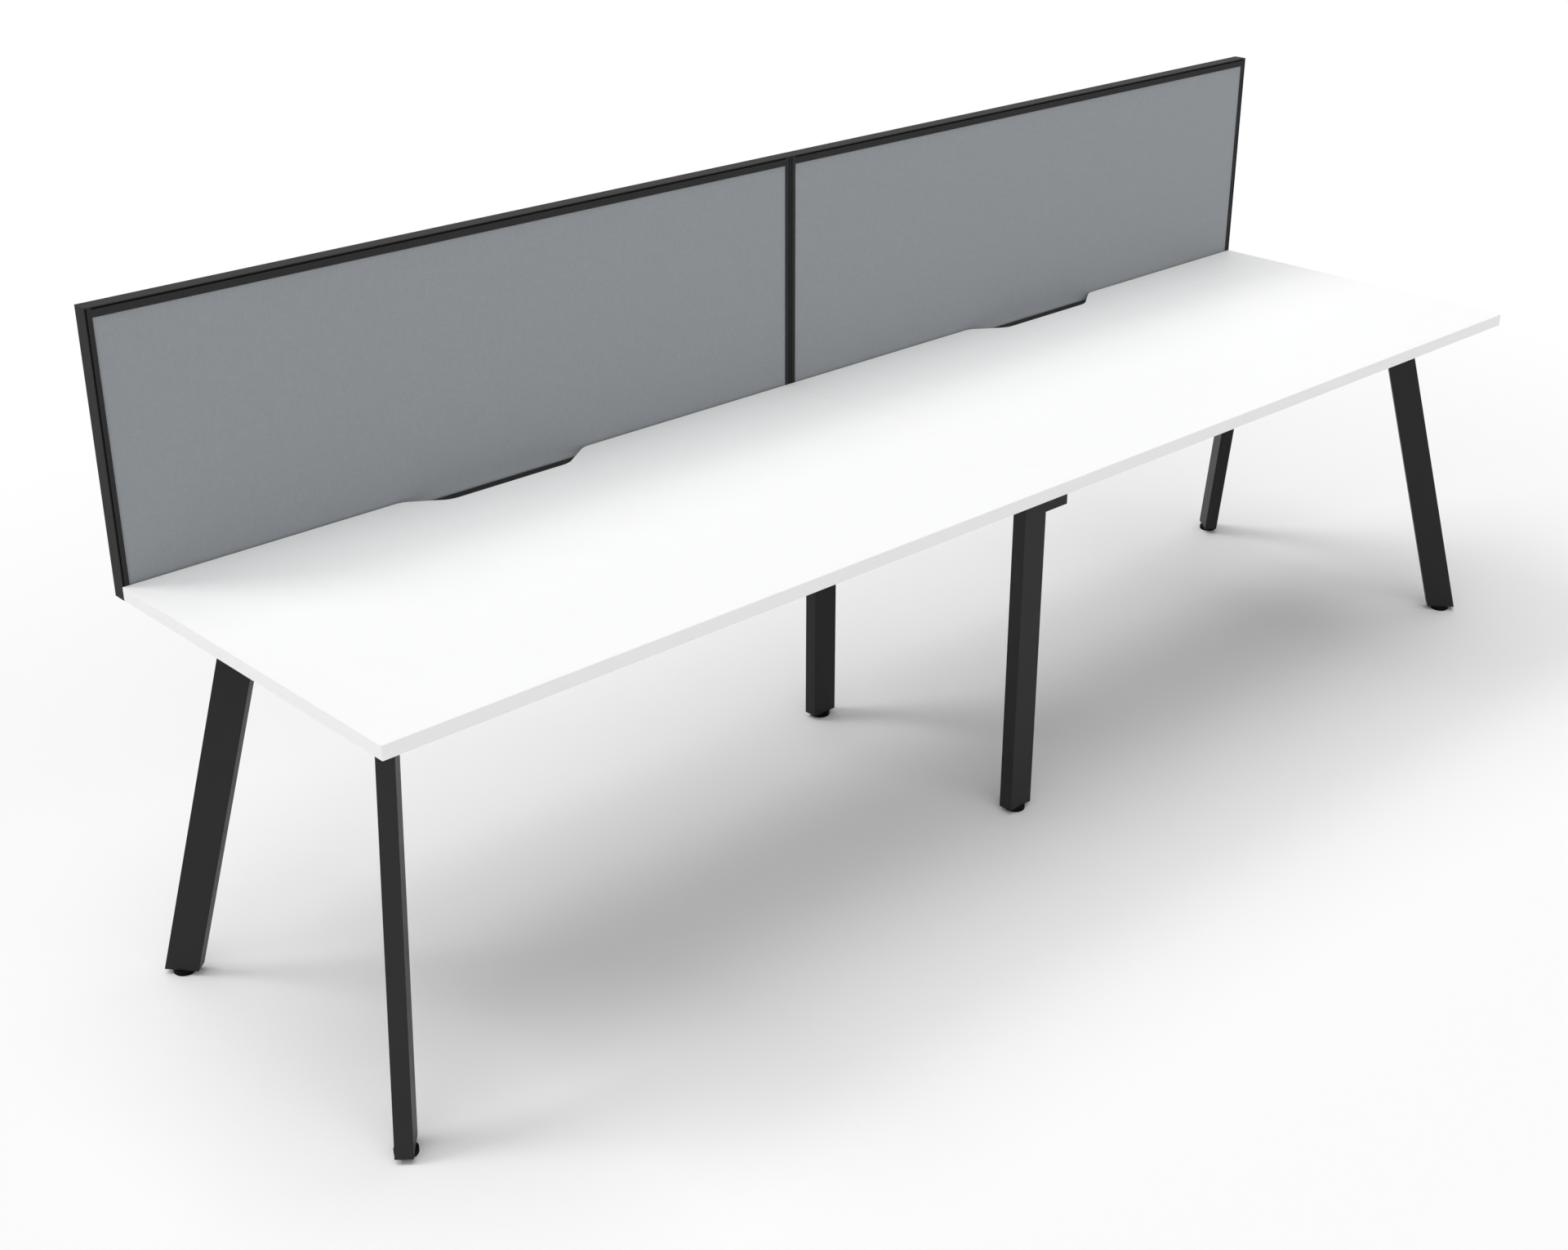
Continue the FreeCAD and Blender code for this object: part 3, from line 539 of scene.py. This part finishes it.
def stud_tree():
    """Levelling stud: hexagon head, collar and a rod whose surface winds in and out as a thread."""
    tree, given = start_tree(
        "Levelling stud",
        ("Base", "NodeSocketVector"), ("Head Width", "NodeSocketFloat"), ("Head Height", "NodeSocketFloat"),
        ("Collar Radius", "NodeSocketFloat"), ("Collar Height", "NodeSocketFloat"),
        ("Rod Radius", "NodeSocketFloat"), ("Rod Length", "NodeSocketFloat"), ("Rod Rows", "NodeSocketInt"),
        ("Pitch", "NodeSocketFloat"), ("Depth", "NodeSocketFloat"), ("Material", "NodeSocketMaterial"))
    size = given.outputs
    corner = add_node(tree, "ShaderNodeMath", {
        0: size["Head Width"], 1: 1 / math.sqrt(3)}, operation="MULTIPLY")
    head = add_node(tree, "GeometryNodeMeshCylinder", {
        "Vertices": HEXAGON, "Radius": corner.outputs["Value"], "Depth": size["Head Height"]})
    collar = add_node(tree, "GeometryNodeMeshCylinder", {
        "Vertices": SEGMENTS, "Radius": size["Collar Radius"], "Depth": size["Collar Height"]})
    rod = add_node(tree, "GeometryNodeMeshCylinder", {
        "Vertices": ROD_SEGMENTS, "Side Segments": size["Rod Rows"], "Radius": size["Rod Radius"],
        "Depth": size["Rod Length"]})
    place = add_node(tree, "GeometryNodeInputPosition").outputs["Position"]
    split = add_node(tree, "ShaderNodeSeparateXYZ", {0: place})
    angle = add_node(tree, "ShaderNodeMath", {
        0: split.outputs["Y"], 1: split.outputs["X"]}, operation="ARCTAN2")
    share = add_node(tree, "ShaderNodeMath", {0: angle.outputs["Value"], 1: math.tau}, operation="DIVIDE")
    rise = add_node(tree, "ShaderNodeMath", {0: split.outputs["Z"], 1: size["Pitch"]}, operation="DIVIDE")
    turns = add_node(tree, "ShaderNodeMath", {
        0: rise.outputs["Value"], 1: share.outputs["Value"]}, operation="SUBTRACT")
    half_turn = 0.5
    flank = add_node(tree, "ShaderNodeMath", {0: turns.outputs["Value"], 1: half_turn}, operation="PINGPONG")
    cut = add_node(tree, "ShaderNodeMath", {
        0: flank.outputs["Value"], 1: size["Depth"]}, operation="MULTIPLY")
    inward = add_node(tree, "ShaderNodeMath", {
        0: cut.outputs["Value"], 1: -1 / half_turn}, operation="MULTIPLY")
    level = add_node(tree, "ShaderNodeVectorMath", {0: place, 1: (1.0, 1.0, 0.0)}, operation="MULTIPLY")
    outward = add_node(tree, "ShaderNodeVectorMath", {0: level.outputs["Vector"]}, operation="NORMALIZE")
    move = add_node(tree, "ShaderNodeVectorMath", {
        0: outward.outputs["Vector"], 3: inward.outputs["Value"]}, operation="SCALE")
    thread = add_node(tree, "GeometryNodeSetPosition", {
        "Geometry": rod.outputs["Mesh"], "Offset": move.outputs["Vector"]})
    joined = add_node(tree, "GeometryNodeJoinGeometry")
    top = None
    for part, height in ((head, "Head Height"), (collar, "Collar Height"), (thread, "Rod Length")):
        half = add_node(tree, "ShaderNodeMath", {0: size[height], 1: 0.5}, operation="MULTIPLY")
        middle = half.outputs["Value"]
        if top is None:
            top = size[height]
        else:
            middle = add_node(tree, "ShaderNodeMath", {0: top, 1: middle}, operation="ADD").outputs["Value"]
            top = add_node(tree, "ShaderNodeMath", {
                0: top, 1: size[height]}, operation="ADD").outputs["Value"]
        lift = add_node(tree, "ShaderNodeCombineXYZ", {"Z": middle})
        stacked = add_node(tree, "GeometryNodeTransform", {
            "Geometry": part.outputs[0], "Translation": lift.outputs["Vector"]})
        tree.links.new(stacked.outputs["Geometry"], joined.inputs["Geometry"])
    placed = add_node(tree, "GeometryNodeTransform", {
        "Geometry": joined.outputs["Geometry"], "Translation": size["Base"]})
    real = add_node(tree, "GeometryNodeRealizeInstances", {"Geometry": placed.outputs["Geometry"]})
    coloured = add_node(tree, "GeometryNodeSetMaterial", {
        "Geometry": real.outputs["Geometry"], "Material": size["Material"]})
    add_node(tree, "NodeGroupOutput", {"Geometry": coloured.outputs["Geometry"]})
    return tree


def fastener_tree():
    """One fastener at each point, its shank along the point's facing, turned by chance about its axis."""
    tree, given = start_tree(
        "Fasteners at points",
        ("Points", "NodeSocketGeometry"), ("Fastener", "NodeSocketObject"), ("Turn Seed", "NodeSocketInt"),
        ("Material", "NodeSocketMaterial"))
    size = given.outputs
    fastener = add_node(tree, "GeometryNodeObjectInfo", {
        "Object": size["Fastener"]}, transform_space="ORIGINAL")
    facing = add_node(tree, "GeometryNodeInputNamedAttribute", {"Name": "facing"}, data_type="FLOAT_VECTOR")
    aimed = add_node(tree, "FunctionNodeAlignRotationToVector", {
        "Vector": facing.outputs["Attribute"]}, axis="Z")
    chance = add_node(tree, "FunctionNodeRandomValue", {
        "Min": 0.0, "Max": math.tau, "Seed": size["Turn Seed"]}, data_type="FLOAT")
    about = add_node(tree, "ShaderNodeCombineXYZ", {"Z": chance.outputs[1]})
    turn = add_node(tree, "FunctionNodeEulerToRotation", {"Euler": about.outputs["Vector"]})
    turned = add_node(tree, "FunctionNodeRotateRotation", {
        "Rotation": aimed.outputs["Rotation"], "Rotate By": turn.outputs["Rotation"]}, rotation_space="LOCAL")
    copies = add_node(tree, "GeometryNodeInstanceOnPoints", {
        "Points": size["Points"], "Instance": fastener.outputs["Geometry"],
        "Rotation": turned.outputs["Rotation"]})
    real = add_node(tree, "GeometryNodeRealizeInstances", {"Geometry": copies.outputs["Instances"]})
    coloured = add_node(tree, "GeometryNodeSetMaterial", {
        "Geometry": real.outputs["Geometry"], "Material": size["Material"]})
    add_node(tree, "NodeGroupOutput", {"Geometry": coloured.outputs["Geometry"]})
    return tree


# Fasteners, each drawn with its seat at Z 0, its head below and its shank upwards

BOLT_RADIUS = 4 * MM
BOLT_PITCH = 1.25 * MM
BOLT_THREAD = 14 * MM
NUT_CLEARANCE = 0.05 * MM
CROWN_SHARE = 0.47
CHAMFER_SLOPE = math.tan(math.radians(30))


def ring(bm, radius, z):
    """A ring of vertices. radius is a length or a function of the angle, and so is z."""
    vertices = []
    for step in range(SEGMENTS):
        angle = math.tau * step / SEGMENTS
        reach = radius(angle) if callable(radius) else radius
        height = z(angle) if callable(z) else z
        vertices.append(bm.verts.new((reach * math.cos(angle), reach * math.sin(angle), height)))
    return vertices


def bridge(bm, rings):
    """Quads between rings that follow each other."""
    for low, high in zip(rings, rings[1:]):
        for step in range(SEGMENTS):
            after = (step + 1) % SEGMENTS
            bm.faces.new((low[step], low[after], high[after], high[step]))


def chamfered_hexagon(flats):
    """Reach of a hexagon by angle, radius of its round crown, and depth of the chamfer by angle."""
    crown = CROWN_SHARE * flats

    def reach(angle):
        return flats / 2 / math.cos((angle + math.pi / 6) % (math.pi / 3) - math.pi / 6)

    def chamfer(angle):
        return (reach(angle) - crown) * CHAMFER_SLOPE

    return reach, crown, chamfer


def finished_mesh(bm, name):
    """The mesh with doubles merged and its faces turned outwards."""
    bmesh.ops.remove_doubles(bm, verts=bm.verts, dist=0.001 * MM)
    bmesh.ops.recalc_face_normals(bm, faces=bm.faces)
    mesh = bpy.data.meshes.new(name)
    bm.to_mesh(mesh)
    bm.free()
    return mesh


def cross_screw_mesh(name, head_radius, head_height, shank_radius, shank_length):
    """Domed screw with a cross recess in its head and a pointed, ridged shank."""
    bm = bmesh.new()
    dome = [(1.0, 0.0), (1.0, 0.38), (0.96, 0.58), (0.86, 0.78), (0.72, 0.92), (0.56, 1.0)]
    rings = [ring(bm, head_radius * across, -head_height * down) for across, down in dome]
    bridge(bm, rings[::-1])
    arm = 0.46 * head_radius
    half = 0.11 * head_radius
    cross = [(arm, -half), (arm, half), (half, half), (half, arm), (-half, arm), (-half, half),
             (-arm, half), (-arm, -half), (-half, -half), (-half, -arm), (half, -arm), (half, -half)]
    taper = 0.6
    floor_z = -0.4 * head_height
    mouth = [bm.verts.new((x, y, -head_height)) for x, y in cross]
    floor = [bm.verts.new((x * taper, y * taper, floor_z)) for x, y in cross]
    edges = []
    for loop in (rings[-1], mouth):
        for step in range(len(loop)):
            pair = (loop[step], loop[(step + 1) % len(loop)])
            edges.append(bm.edges.get(pair) or bm.edges.new(pair))
    bmesh.ops.triangle_fill(bm, edges=edges, use_beauty=True)
    for step in range(len(cross)):
        after = (step + 1) % len(cross)
        bm.faces.new((mouth[step], mouth[after], floor[after], floor[step]))
    bm.faces.new(floor)
    pitch = 0.9 * shank_radius
    root_radius = 0.72 * shank_radius
    tip_radius = 0.08 * shank_radius
    ridged_length = 0.8 * shank_length
    shank = [rings[0], ring(bm, shank_radius, 0.0)]
    for turn in range(int(ridged_length / pitch)):
        z = pitch * turn
        shank.append(ring(bm, root_radius, z + pitch * 0.35))
        shank.append(ring(bm, shank_radius, z + pitch * 0.7))
    shank.append(ring(bm, tip_radius, shank_length))
    bridge(bm, shank)
    bm.faces.new(shank[-1])
    return finished_mesh(bm, name)


def hexagon_bolt_mesh(name, flats, head_height, shank_length):
    """Bolt with a chamfered hexagon head and a shank that is ridged near its end."""
    bm = bmesh.new()
    reach, crown, chamfer = chamfered_hexagon(flats)
    head = [
        ring(bm, reach, 0.0),
        ring(bm, reach, lambda angle: chamfer(angle) - head_height),
        ring(bm, crown, -head_height),
    ]
    bridge(bm, head[::-1])
    bm.faces.new(head[-1])
    root_radius = 0.86 * BOLT_RADIUS
    end_radius = 0.8 * BOLT_RADIUS
    thread_start = shank_length - BOLT_THREAD
    shank = [head[0], ring(bm, BOLT_RADIUS, 0.0), ring(bm, BOLT_RADIUS, thread_start)]
    for turn in range(int(BOLT_THREAD / BOLT_PITCH)):
        z = thread_start + BOLT_PITCH * turn
        shank.append(ring(bm, root_radius, z + BOLT_PITCH * 0.5))
        shank.append(ring(bm, BOLT_RADIUS, z + BOLT_PITCH))
    shank.append(ring(bm, end_radius, shank_length))
    bridge(bm, shank)
    bm.faces.new(shank[-1])
    return finished_mesh(bm, name)


def hexagon_nut_mesh(name, flats, height):
    """Nut with both faces chamfered and a ridged bore."""
    bm = bmesh.new()
    reach, crown, chamfer = chamfered_hexagon(flats)
    bore_radius = BOLT_RADIUS + NUT_CLEARANCE
    groove_radius = 1.08 * bore_radius
    rings = [
        ring(bm, bore_radius, 0.0),
        ring(bm, crown, 0.0),
        ring(bm, reach, chamfer),
        ring(bm, reach, lambda angle: height - chamfer(angle)),
        ring(bm, crown, height),
        ring(bm, bore_radius, height),
    ]
    turns = int(height / BOLT_PITCH)
    for turn in range(turns):
        z = height - (turn + 0.5) * height / turns
        rings.append(ring(bm, groove_radius, z))
        rings.append(ring(bm, bore_radius, z - 0.5 * height / turns))
    bridge(bm, rings)
    return finished_mesh(bm, name)


def scatter(name, node, mesh, places, tree, seed):
    """Fasteners of one kind at their places, each (seat, facing), in place of a CAD node."""
    points = bpy.data.meshes.new(f"{name}_points")
    points.from_pydata([seat for seat, facing in places], [], [])
    facings = points.attributes.new("facing", "FLOAT_VECTOR", "POINT")
    for index, (seat, facing) in enumerate(places):
        facings.data[index].vector = facing
    model = bpy.data.objects.new(f"{name}_model", mesh)
    piece = grown(name, tree, points, {"Fastener": model, "Turn Seed": seed, "Material": shared_zinc()})
    bpy.data.objects.remove(model)
    hand_over(piece, DESK, "zinc_steel", node)


def scatter_screws(node, tree, seed):
    """Cross-recess screws in place of a node's plain ones, which stand head down on one level."""
    seat_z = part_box("screen_brackets")[0].z
    solids = solids_of(node)
    boxes = [box_of(points) for points in solids]
    lowest, highest = boxes[0]
    shank_low, shank_high = box_of([point for point in solids[0] if point.z > seat_z + MM])
    mesh = cross_screw_mesh(f"{node}_shape", (highest.x - lowest.x) / 2, seat_z - lowest.z,
                            (shank_high.x - shank_low.x) / 2, highest.z - seat_z)
    middles = [(low + high) / 2 for low, high in boxes]
    places = [((middle.x, middle.y, seat_z), (0.0, 0.0, 1.0)) for middle in middles]
    scatter(f"cross_{node}", node, mesh, places, tree, seed)


def scatter_nuts(flats, boxes, tree, seed):
    """Hexagon nuts in place of the plain ones, which lie along X."""
    low, high = boxes[0]
    mesh = hexagon_nut_mesh("nut_shape", flats, high.x - low.x)
    places = [((low.x, (low.y + high.y) / 2, (low.z + high.z) / 2), (1.0, 0.0, 0.0)) for low, high in boxes]
    scatter("hexagon_beam_nuts", "beam_nuts", mesh, places, tree, seed)


def scatter_bolts(flats, tree, seed):
    """Hexagon bolts in place of the plain ones, which lie along X either way: one piece for each length."""
    by_length = {}
    for points in solids_of("beam_bolts"):
        low, high = box_of(points)
        middle = (low + high) / 2
        head = [p.x for p in points if math.hypot(p.y - middle.y, p.z - middle.z) > BOLT_RADIUS + MM]
        head_height = max(head) - min(head)
        facing = 1.0 if min(head) == low.x else -1.0
        seat = max(head) if facing > 0 else min(head)
        length = round(high.x - low.x - head_height, 4)
        by_length.setdefault(length, []).append(((seat, middle.y, middle.z), (facing, 0.0, 0.0)))
    for length, places in by_length.items():
        mesh = hexagon_bolt_mesh("bolt_shape", flats, head_height, length)
        scatter(f"hexagon_beam_bolts_{round(length / MM)}", "beam_bolts", mesh, places, tree, seed)


# Studio

SENSOR_WIDTH = 36.0
FARTHEST_SEEN = 200.0
FLOOR_HALF = 40.0


def seen_rays(tree):
    """1 for rays from the camera, or that reach it by reflection or through glass."""
    path = add_node(tree, "ShaderNodeLightPath").outputs
    bright = add_node(tree, "ShaderNodeMath", {
        0: path["Is Camera Ray"], 1: path["Is Glossy Ray"]}, operation="MAXIMUM")
    seen = add_node(tree, "ShaderNodeMath", {
        0: bright.outputs["Value"], 1: path["Is Transmission Ray"]}, operation="MAXIMUM")
    return seen.outputs["Value"]


def floor_with_painted_shade(studio):
    """Painted shade in the floor's colour: darker near the desk, whiter away, by distance from its outline.
    """
    material, tree, place = blank_material("Pale studio floor")
    desk_half = (CAD_BOX[1].x, CAD_BOX[1].y, 0.0)
    reach = add_node(tree, "ShaderNodeVectorMath", {0: place}, operation="ABSOLUTE")
    past = add_node(tree, "ShaderNodeVectorMath", {
        0: reach.outputs["Vector"], 1: desk_half}, operation="SUBTRACT")
    clear = add_node(tree, "ShaderNodeVectorMath", {
        0: past.outputs["Vector"], 1: (0.0, 0.0, 0.0)}, operation="MAXIMUM")
    distance = add_node(tree, "ShaderNodeVectorMath", {0: clear.outputs["Vector"]}, operation="LENGTH")
    fade = add_node(tree, "ShaderNodeMapRange", {
        "Value": distance.outputs["Value"], "From Min": studio.fade_start, "From Max": studio.fade_end,
    }, interpolation_type="SMOOTHSTEP")
    # Painted shade: the floor's colour is darker near the desk and whiter away from it.
    shade = add_node(tree, "ShaderNodeMix", {
        0: fade.outputs["Result"], 6: tuple(studio.floor), 7: tuple(studio.far_floor)}, data_type="RGBA")
    diffuse = add_node(tree, "ShaderNodeBsdfDiffuse", {"Color": shade.outputs[2]})
    add_node(tree, "ShaderNodeOutputMaterial", {"Surface": diffuse.outputs["BSDF"]})
    return material


def studio_floor(studio):
    """Pale floor that keeps the shadow; its colour holds painted shade near the desk and grows whiter away
    from it.
    """
    corners = [(-FLOOR_HALF, -FLOOR_HALF, 0), (FLOOR_HALF, -FLOOR_HALF, 0),
               (FLOOR_HALF, FLOOR_HALF, 0), (-FLOOR_HALF, FLOOR_HALF, 0)]
    mesh = bpy.data.meshes.new("studio_floor")
    mesh.from_pydata(corners, [], [(0, 1, 2, 3)])
    mesh.materials.append(floor_with_painted_shade(studio))
    return new_piece("studio_floor", mesh)


def white_dome(scene, studio):
    """Even light from all sides, seen as pale as the lit far floor, so that no horizon shows."""
    lit = studio.dome + studio.overhead + studio.key + studio.front + studio.left
    world = bpy.data.worlds.new("White dome")
    world.use_nodes = True
    tree = world.node_tree
    tree.nodes.clear()
    light = add_node(tree, "ShaderNodeBackground", {"Strength": studio.dome, "Color": (1.0, 1.0, 1.0, 1.0)})
    pale = add_node(tree, "ShaderNodeBackground", {"Strength": lit, "Color": tuple(studio.far_floor)})
    mix = add_node(tree, "ShaderNodeMixShader", {
        0: seen_rays(tree), 1: light.outputs["Background"], 2: pale.outputs["Background"]})
    add_node(tree, "ShaderNodeOutputWorld", {"Surface": mix.outputs["Shader"]})
    scene.world = world


def soft_lamp(scene, name, share, turn, rise, spread):
    """Wide lamp so far away that it lights the whole floor alike.

    In degrees, turn is its direction from +X towards +Y, rise its height and spread its width.
    """
    turn = math.radians(turn)
    rise = math.radians(rise)
    lamp = bpy.data.lights.new(name, "SUN")
    lamp.energy = math.pi * share / math.sin(rise)
    lamp.angle = math.radians(spread)
    level = math.cos(rise)
    towards = Vector((level * math.cos(turn), level * math.sin(turn), math.sin(rise)))
    holder = bpy.data.objects.new(name, lamp)
    holder.rotation_euler = towards.to_track_quat("Z", "Y").to_euler()
    scene.collection.objects.link(holder)


def studio_camera(scene, studio):
    """Camera that looks down on the desk from its left front corner."""
    camera = bpy.data.cameras.new("Camera")
    camera.lens = studio.lens
    camera.sensor_width = SENSOR_WIDTH
    camera.clip_end = FARTHEST_SEEN
    eye = bpy.data.objects.new("Camera", camera)
    eye.location = studio.camera_place
    eye.rotation_euler = (math.pi / 2 - studio.camera_pitch, 0.0, -studio.camera_heading)
    scene.collection.objects.link(eye)
    scene.camera = eye


# Operators


class WORKSTATION_OT_tops(bpy.types.Operator):
    """Faces the tops and their edge bands."""

    bl_idname = "workstation.tops"
    bl_label = "Tops"

    def execute(self, context):
        colours = values_of("workstation_finishes")
        board = white_facing(colours.top, "White melamine board", pearl=1.4 * MM)
        band = white_facing(colours.edge, "White ABS edge band", pearl=0.9 * MM)
        for side in SIDES:
            dress(board, f"{side}_top")
            dress(band, f"{side}_top_edge_band")
        return {"FINISHED"}


class WORKSTATION_OT_steel_frame(bpy.types.Operator):
    """Coats the legs, rails, beams, plates and brackets."""

    bl_idname = "workstation.steel_frame"
    bl_label = "Steel frame"

    def execute(self, context):
        coat = powder_coat(values_of("workstation_finishes").steel, "Black powder coat", peel=1.0 * MM)
        slots = {part["node"]: part["material_slot"] for part in frame["record"]["subparts"]}
        dress(coat, *[name for name, slot in slots.items() if slot == "black_powder_coat"])
        return {"FINISHED"}


class WORKSTATION_OT_screen_frames(bpy.types.Operator):
    """Coats the screens' rails, stiles and end caps."""

    bl_idname = "workstation.screen_frames"
    bl_label = "Screen frames"

    def execute(self, context):
        colour = values_of("workstation_finishes").profile
        level = drawn_profile(colour, "Satin black profile along the rails", stretch=(0.02, 1.0, 1.0))
        upright = drawn_profile(colour, "Satin black profile along the stiles", stretch=(1.0, 1.0, 0.02))
        for side in SIDES:
            dress(level, f"{side}_screen_top_rail", f"{side}_screen_bottom_rail")
            dress(upright, f"{side}_screen_left_stile", f"{side}_screen_right_stile")
        dress(level, "screen_stile_caps")
        return {"FINISHED"}


class WORKSTATION_OT_cloth(bpy.types.Operator):
    """Stretches cloth over both faces of each screen's panel."""

    bl_idname = "workstation.cloth"
    bl_label = "Screen cloth"

    def execute(self, context):
        colours = values_of("workstation_finishes")
        sizes = values_of("workstation_sizes")
        cloth = woven_polyester(colours.cloth_warp, colours.cloth_weft, sizes.yarn_spacing)
        core = raw_fibreboard()
        for side in SIDES:
            dress(core, f"{side}_screen_core")
            for face, outward in (("front", -1), ("back", 1)):
                node = f"{side}_screen_{face}_fabric"
                piece = stretched_cloth(f"{side}_screen_{face}_cloth", node, outward,
                                        sizes.cloth_thickness, sizes.cloth_edge)
                piece.data.materials.append(cloth)
                hand_over(piece, DESK, "grey_fabric", node)
        return {"FINISHED"}


class WORKSTATION_OT_feet(bpy.types.Operator):
    """Finishes the pads and plugs, and cuts the thread of each levelling stud."""

    bl_idname = "workstation.feet"
    bl_label = "Levelling feet"

    def execute(self, context):
        sizes = values_of("workstation_sizes")
        nylon = moulded_nylon(values_of("workstation_finishes").plastic)
        zinc = shared_zinc()
        dress(nylon, "leg_plugs", *[f"{foot}_foot_pad" for foot in FEET])
        dress(zinc, "foot_bushes")
        tree = stud_tree()
        bush_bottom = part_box("foot_bushes")[0].z
        for foot in FEET:
            node = f"{foot}_foot_stud"
            lowest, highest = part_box(node)
            middle = (lowest + highest) / 2
            pad_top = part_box(f"{foot}_foot_pad")[1].z
            rod = [vertex.co.x for vertex in NODES[node].data.vertices if vertex.co.z > bush_bottom + MM]
            rod_length = highest.z - bush_bottom
            piece = grown(node.replace("stud", "threaded_stud"), tree, bpy.data.meshes.new(node), {
                "Base": (middle.x, middle.y, lowest.z),
                "Head Width": sizes.stud_flats,
                "Head Height": pad_top - lowest.z,
                "Collar Radius": (highest.x - lowest.x) / 2,
                "Collar Height": bush_bottom - pad_top,
                "Rod Radius": max(rod) - middle.x,
                "Rod Length": rod_length,
                "Rod Rows": round(rod_length / sizes.thread_pitch) * ROWS_PER_TURN,
                "Pitch": sizes.thread_pitch,
                "Depth": sizes.thread_depth,
                "Material": zinc,
            })
            hand_over(piece, f"{foot}_foot", "zinc_steel", node)
        return {"FINISHED"}


class WORKSTATION_OT_fasteners(bpy.types.Operator):
    """Sets real screws, bolts and nuts in place of the plain ones, and finishes the hidden fittings."""

    bl_idname = "workstation.fasteners"
    bl_label = "Screws, bolts and nuts"

    def execute(self, context):
        dress(shared_zinc(), "screen_corner_tongues", "screen_nut_plates")
        tree = fastener_tree()
        scatter_screws("top_screws", tree, seed=0)
        scatter_screws("screen_bracket_screws", tree, seed=1)
        nut_boxes = [box_of(points) for points in solids_of("beam_nuts")]
        low, high = nut_boxes[0]
        flats = high.y - low.y
        scatter_nuts(flats, nut_boxes, tree, seed=2)
        scatter_bolts(flats, tree, seed=3)
        return {"FINISHED"}


class WORKSTATION_OT_stage(bpy.types.Operator):
    """Lays the pale floor and sets the light and the camera."""

    bl_idname = "workstation.stage"
    bl_label = "Studio"

    def execute(self, context):
        studio = values_of("workstation_studio")
        scene = context.scene
        scene.view_settings.view_transform = "Standard"
        studio_floor(studio)
        white_dome(scene, studio)
        soft_lamp(scene, "Overhead lamp", studio.overhead, turn=90, rise=85, spread=56)
        soft_lamp(scene, "Key lamp", studio.key, turn=135, rise=49, spread=21)
        soft_lamp(scene, "Front lamp", studio.front, turn=245, rise=20, spread=80)
        soft_lamp(scene, "Left lamp", studio.left, turn=208, rise=32, spread=70)
        studio_camera(scene, studio)
        return {"FINISHED"}


OPERATORS = (
    WORKSTATION_OT_tops,
    WORKSTATION_OT_steel_frame,
    WORKSTATION_OT_screen_frames,
    WORKSTATION_OT_cloth,
    WORKSTATION_OT_feet,
    WORKSTATION_OT_fasteners,
    WORKSTATION_OT_stage,
)


class WORKSTATION_PT_sidebar(bpy.types.Panel):
    """Lists the settings and the steps."""

    bl_idname = "WORKSTATION_PT_sidebar"
    bl_label = "Workstation"
    bl_space_type = "VIEW_3D"
    bl_region_type = "UI"
    bl_category = "Workstation"

    def draw(self, context):
        for group in GROUPS:
            values = values_of(group)
            for name in values.__annotations__:
                self.layout.prop(values, name)
        for operator in OPERATORS:
            self.layout.operator(operator.bl_idname)


CLASSES = (*GROUPS.values(), *OPERATORS, WORKSTATION_PT_sidebar)


def register():
    for cls in CLASSES:
        bpy.utils.register_class(cls)
    for name, group in GROUPS.items():
        setattr(bpy.types.Scene, name, bpy.props.PointerProperty(type=group))


def unregister():
    for name in GROUPS:
        delattr(bpy.types.Scene, name)
    for cls in reversed(CLASSES):
        bpy.utils.unregister_class(cls)


def main():
    register()
    for operator in OPERATORS:
        space, step = operator.bl_idname.split(".")
        getattr(getattr(bpy.ops, space), step)()


if __name__ == "__main__":
    main()
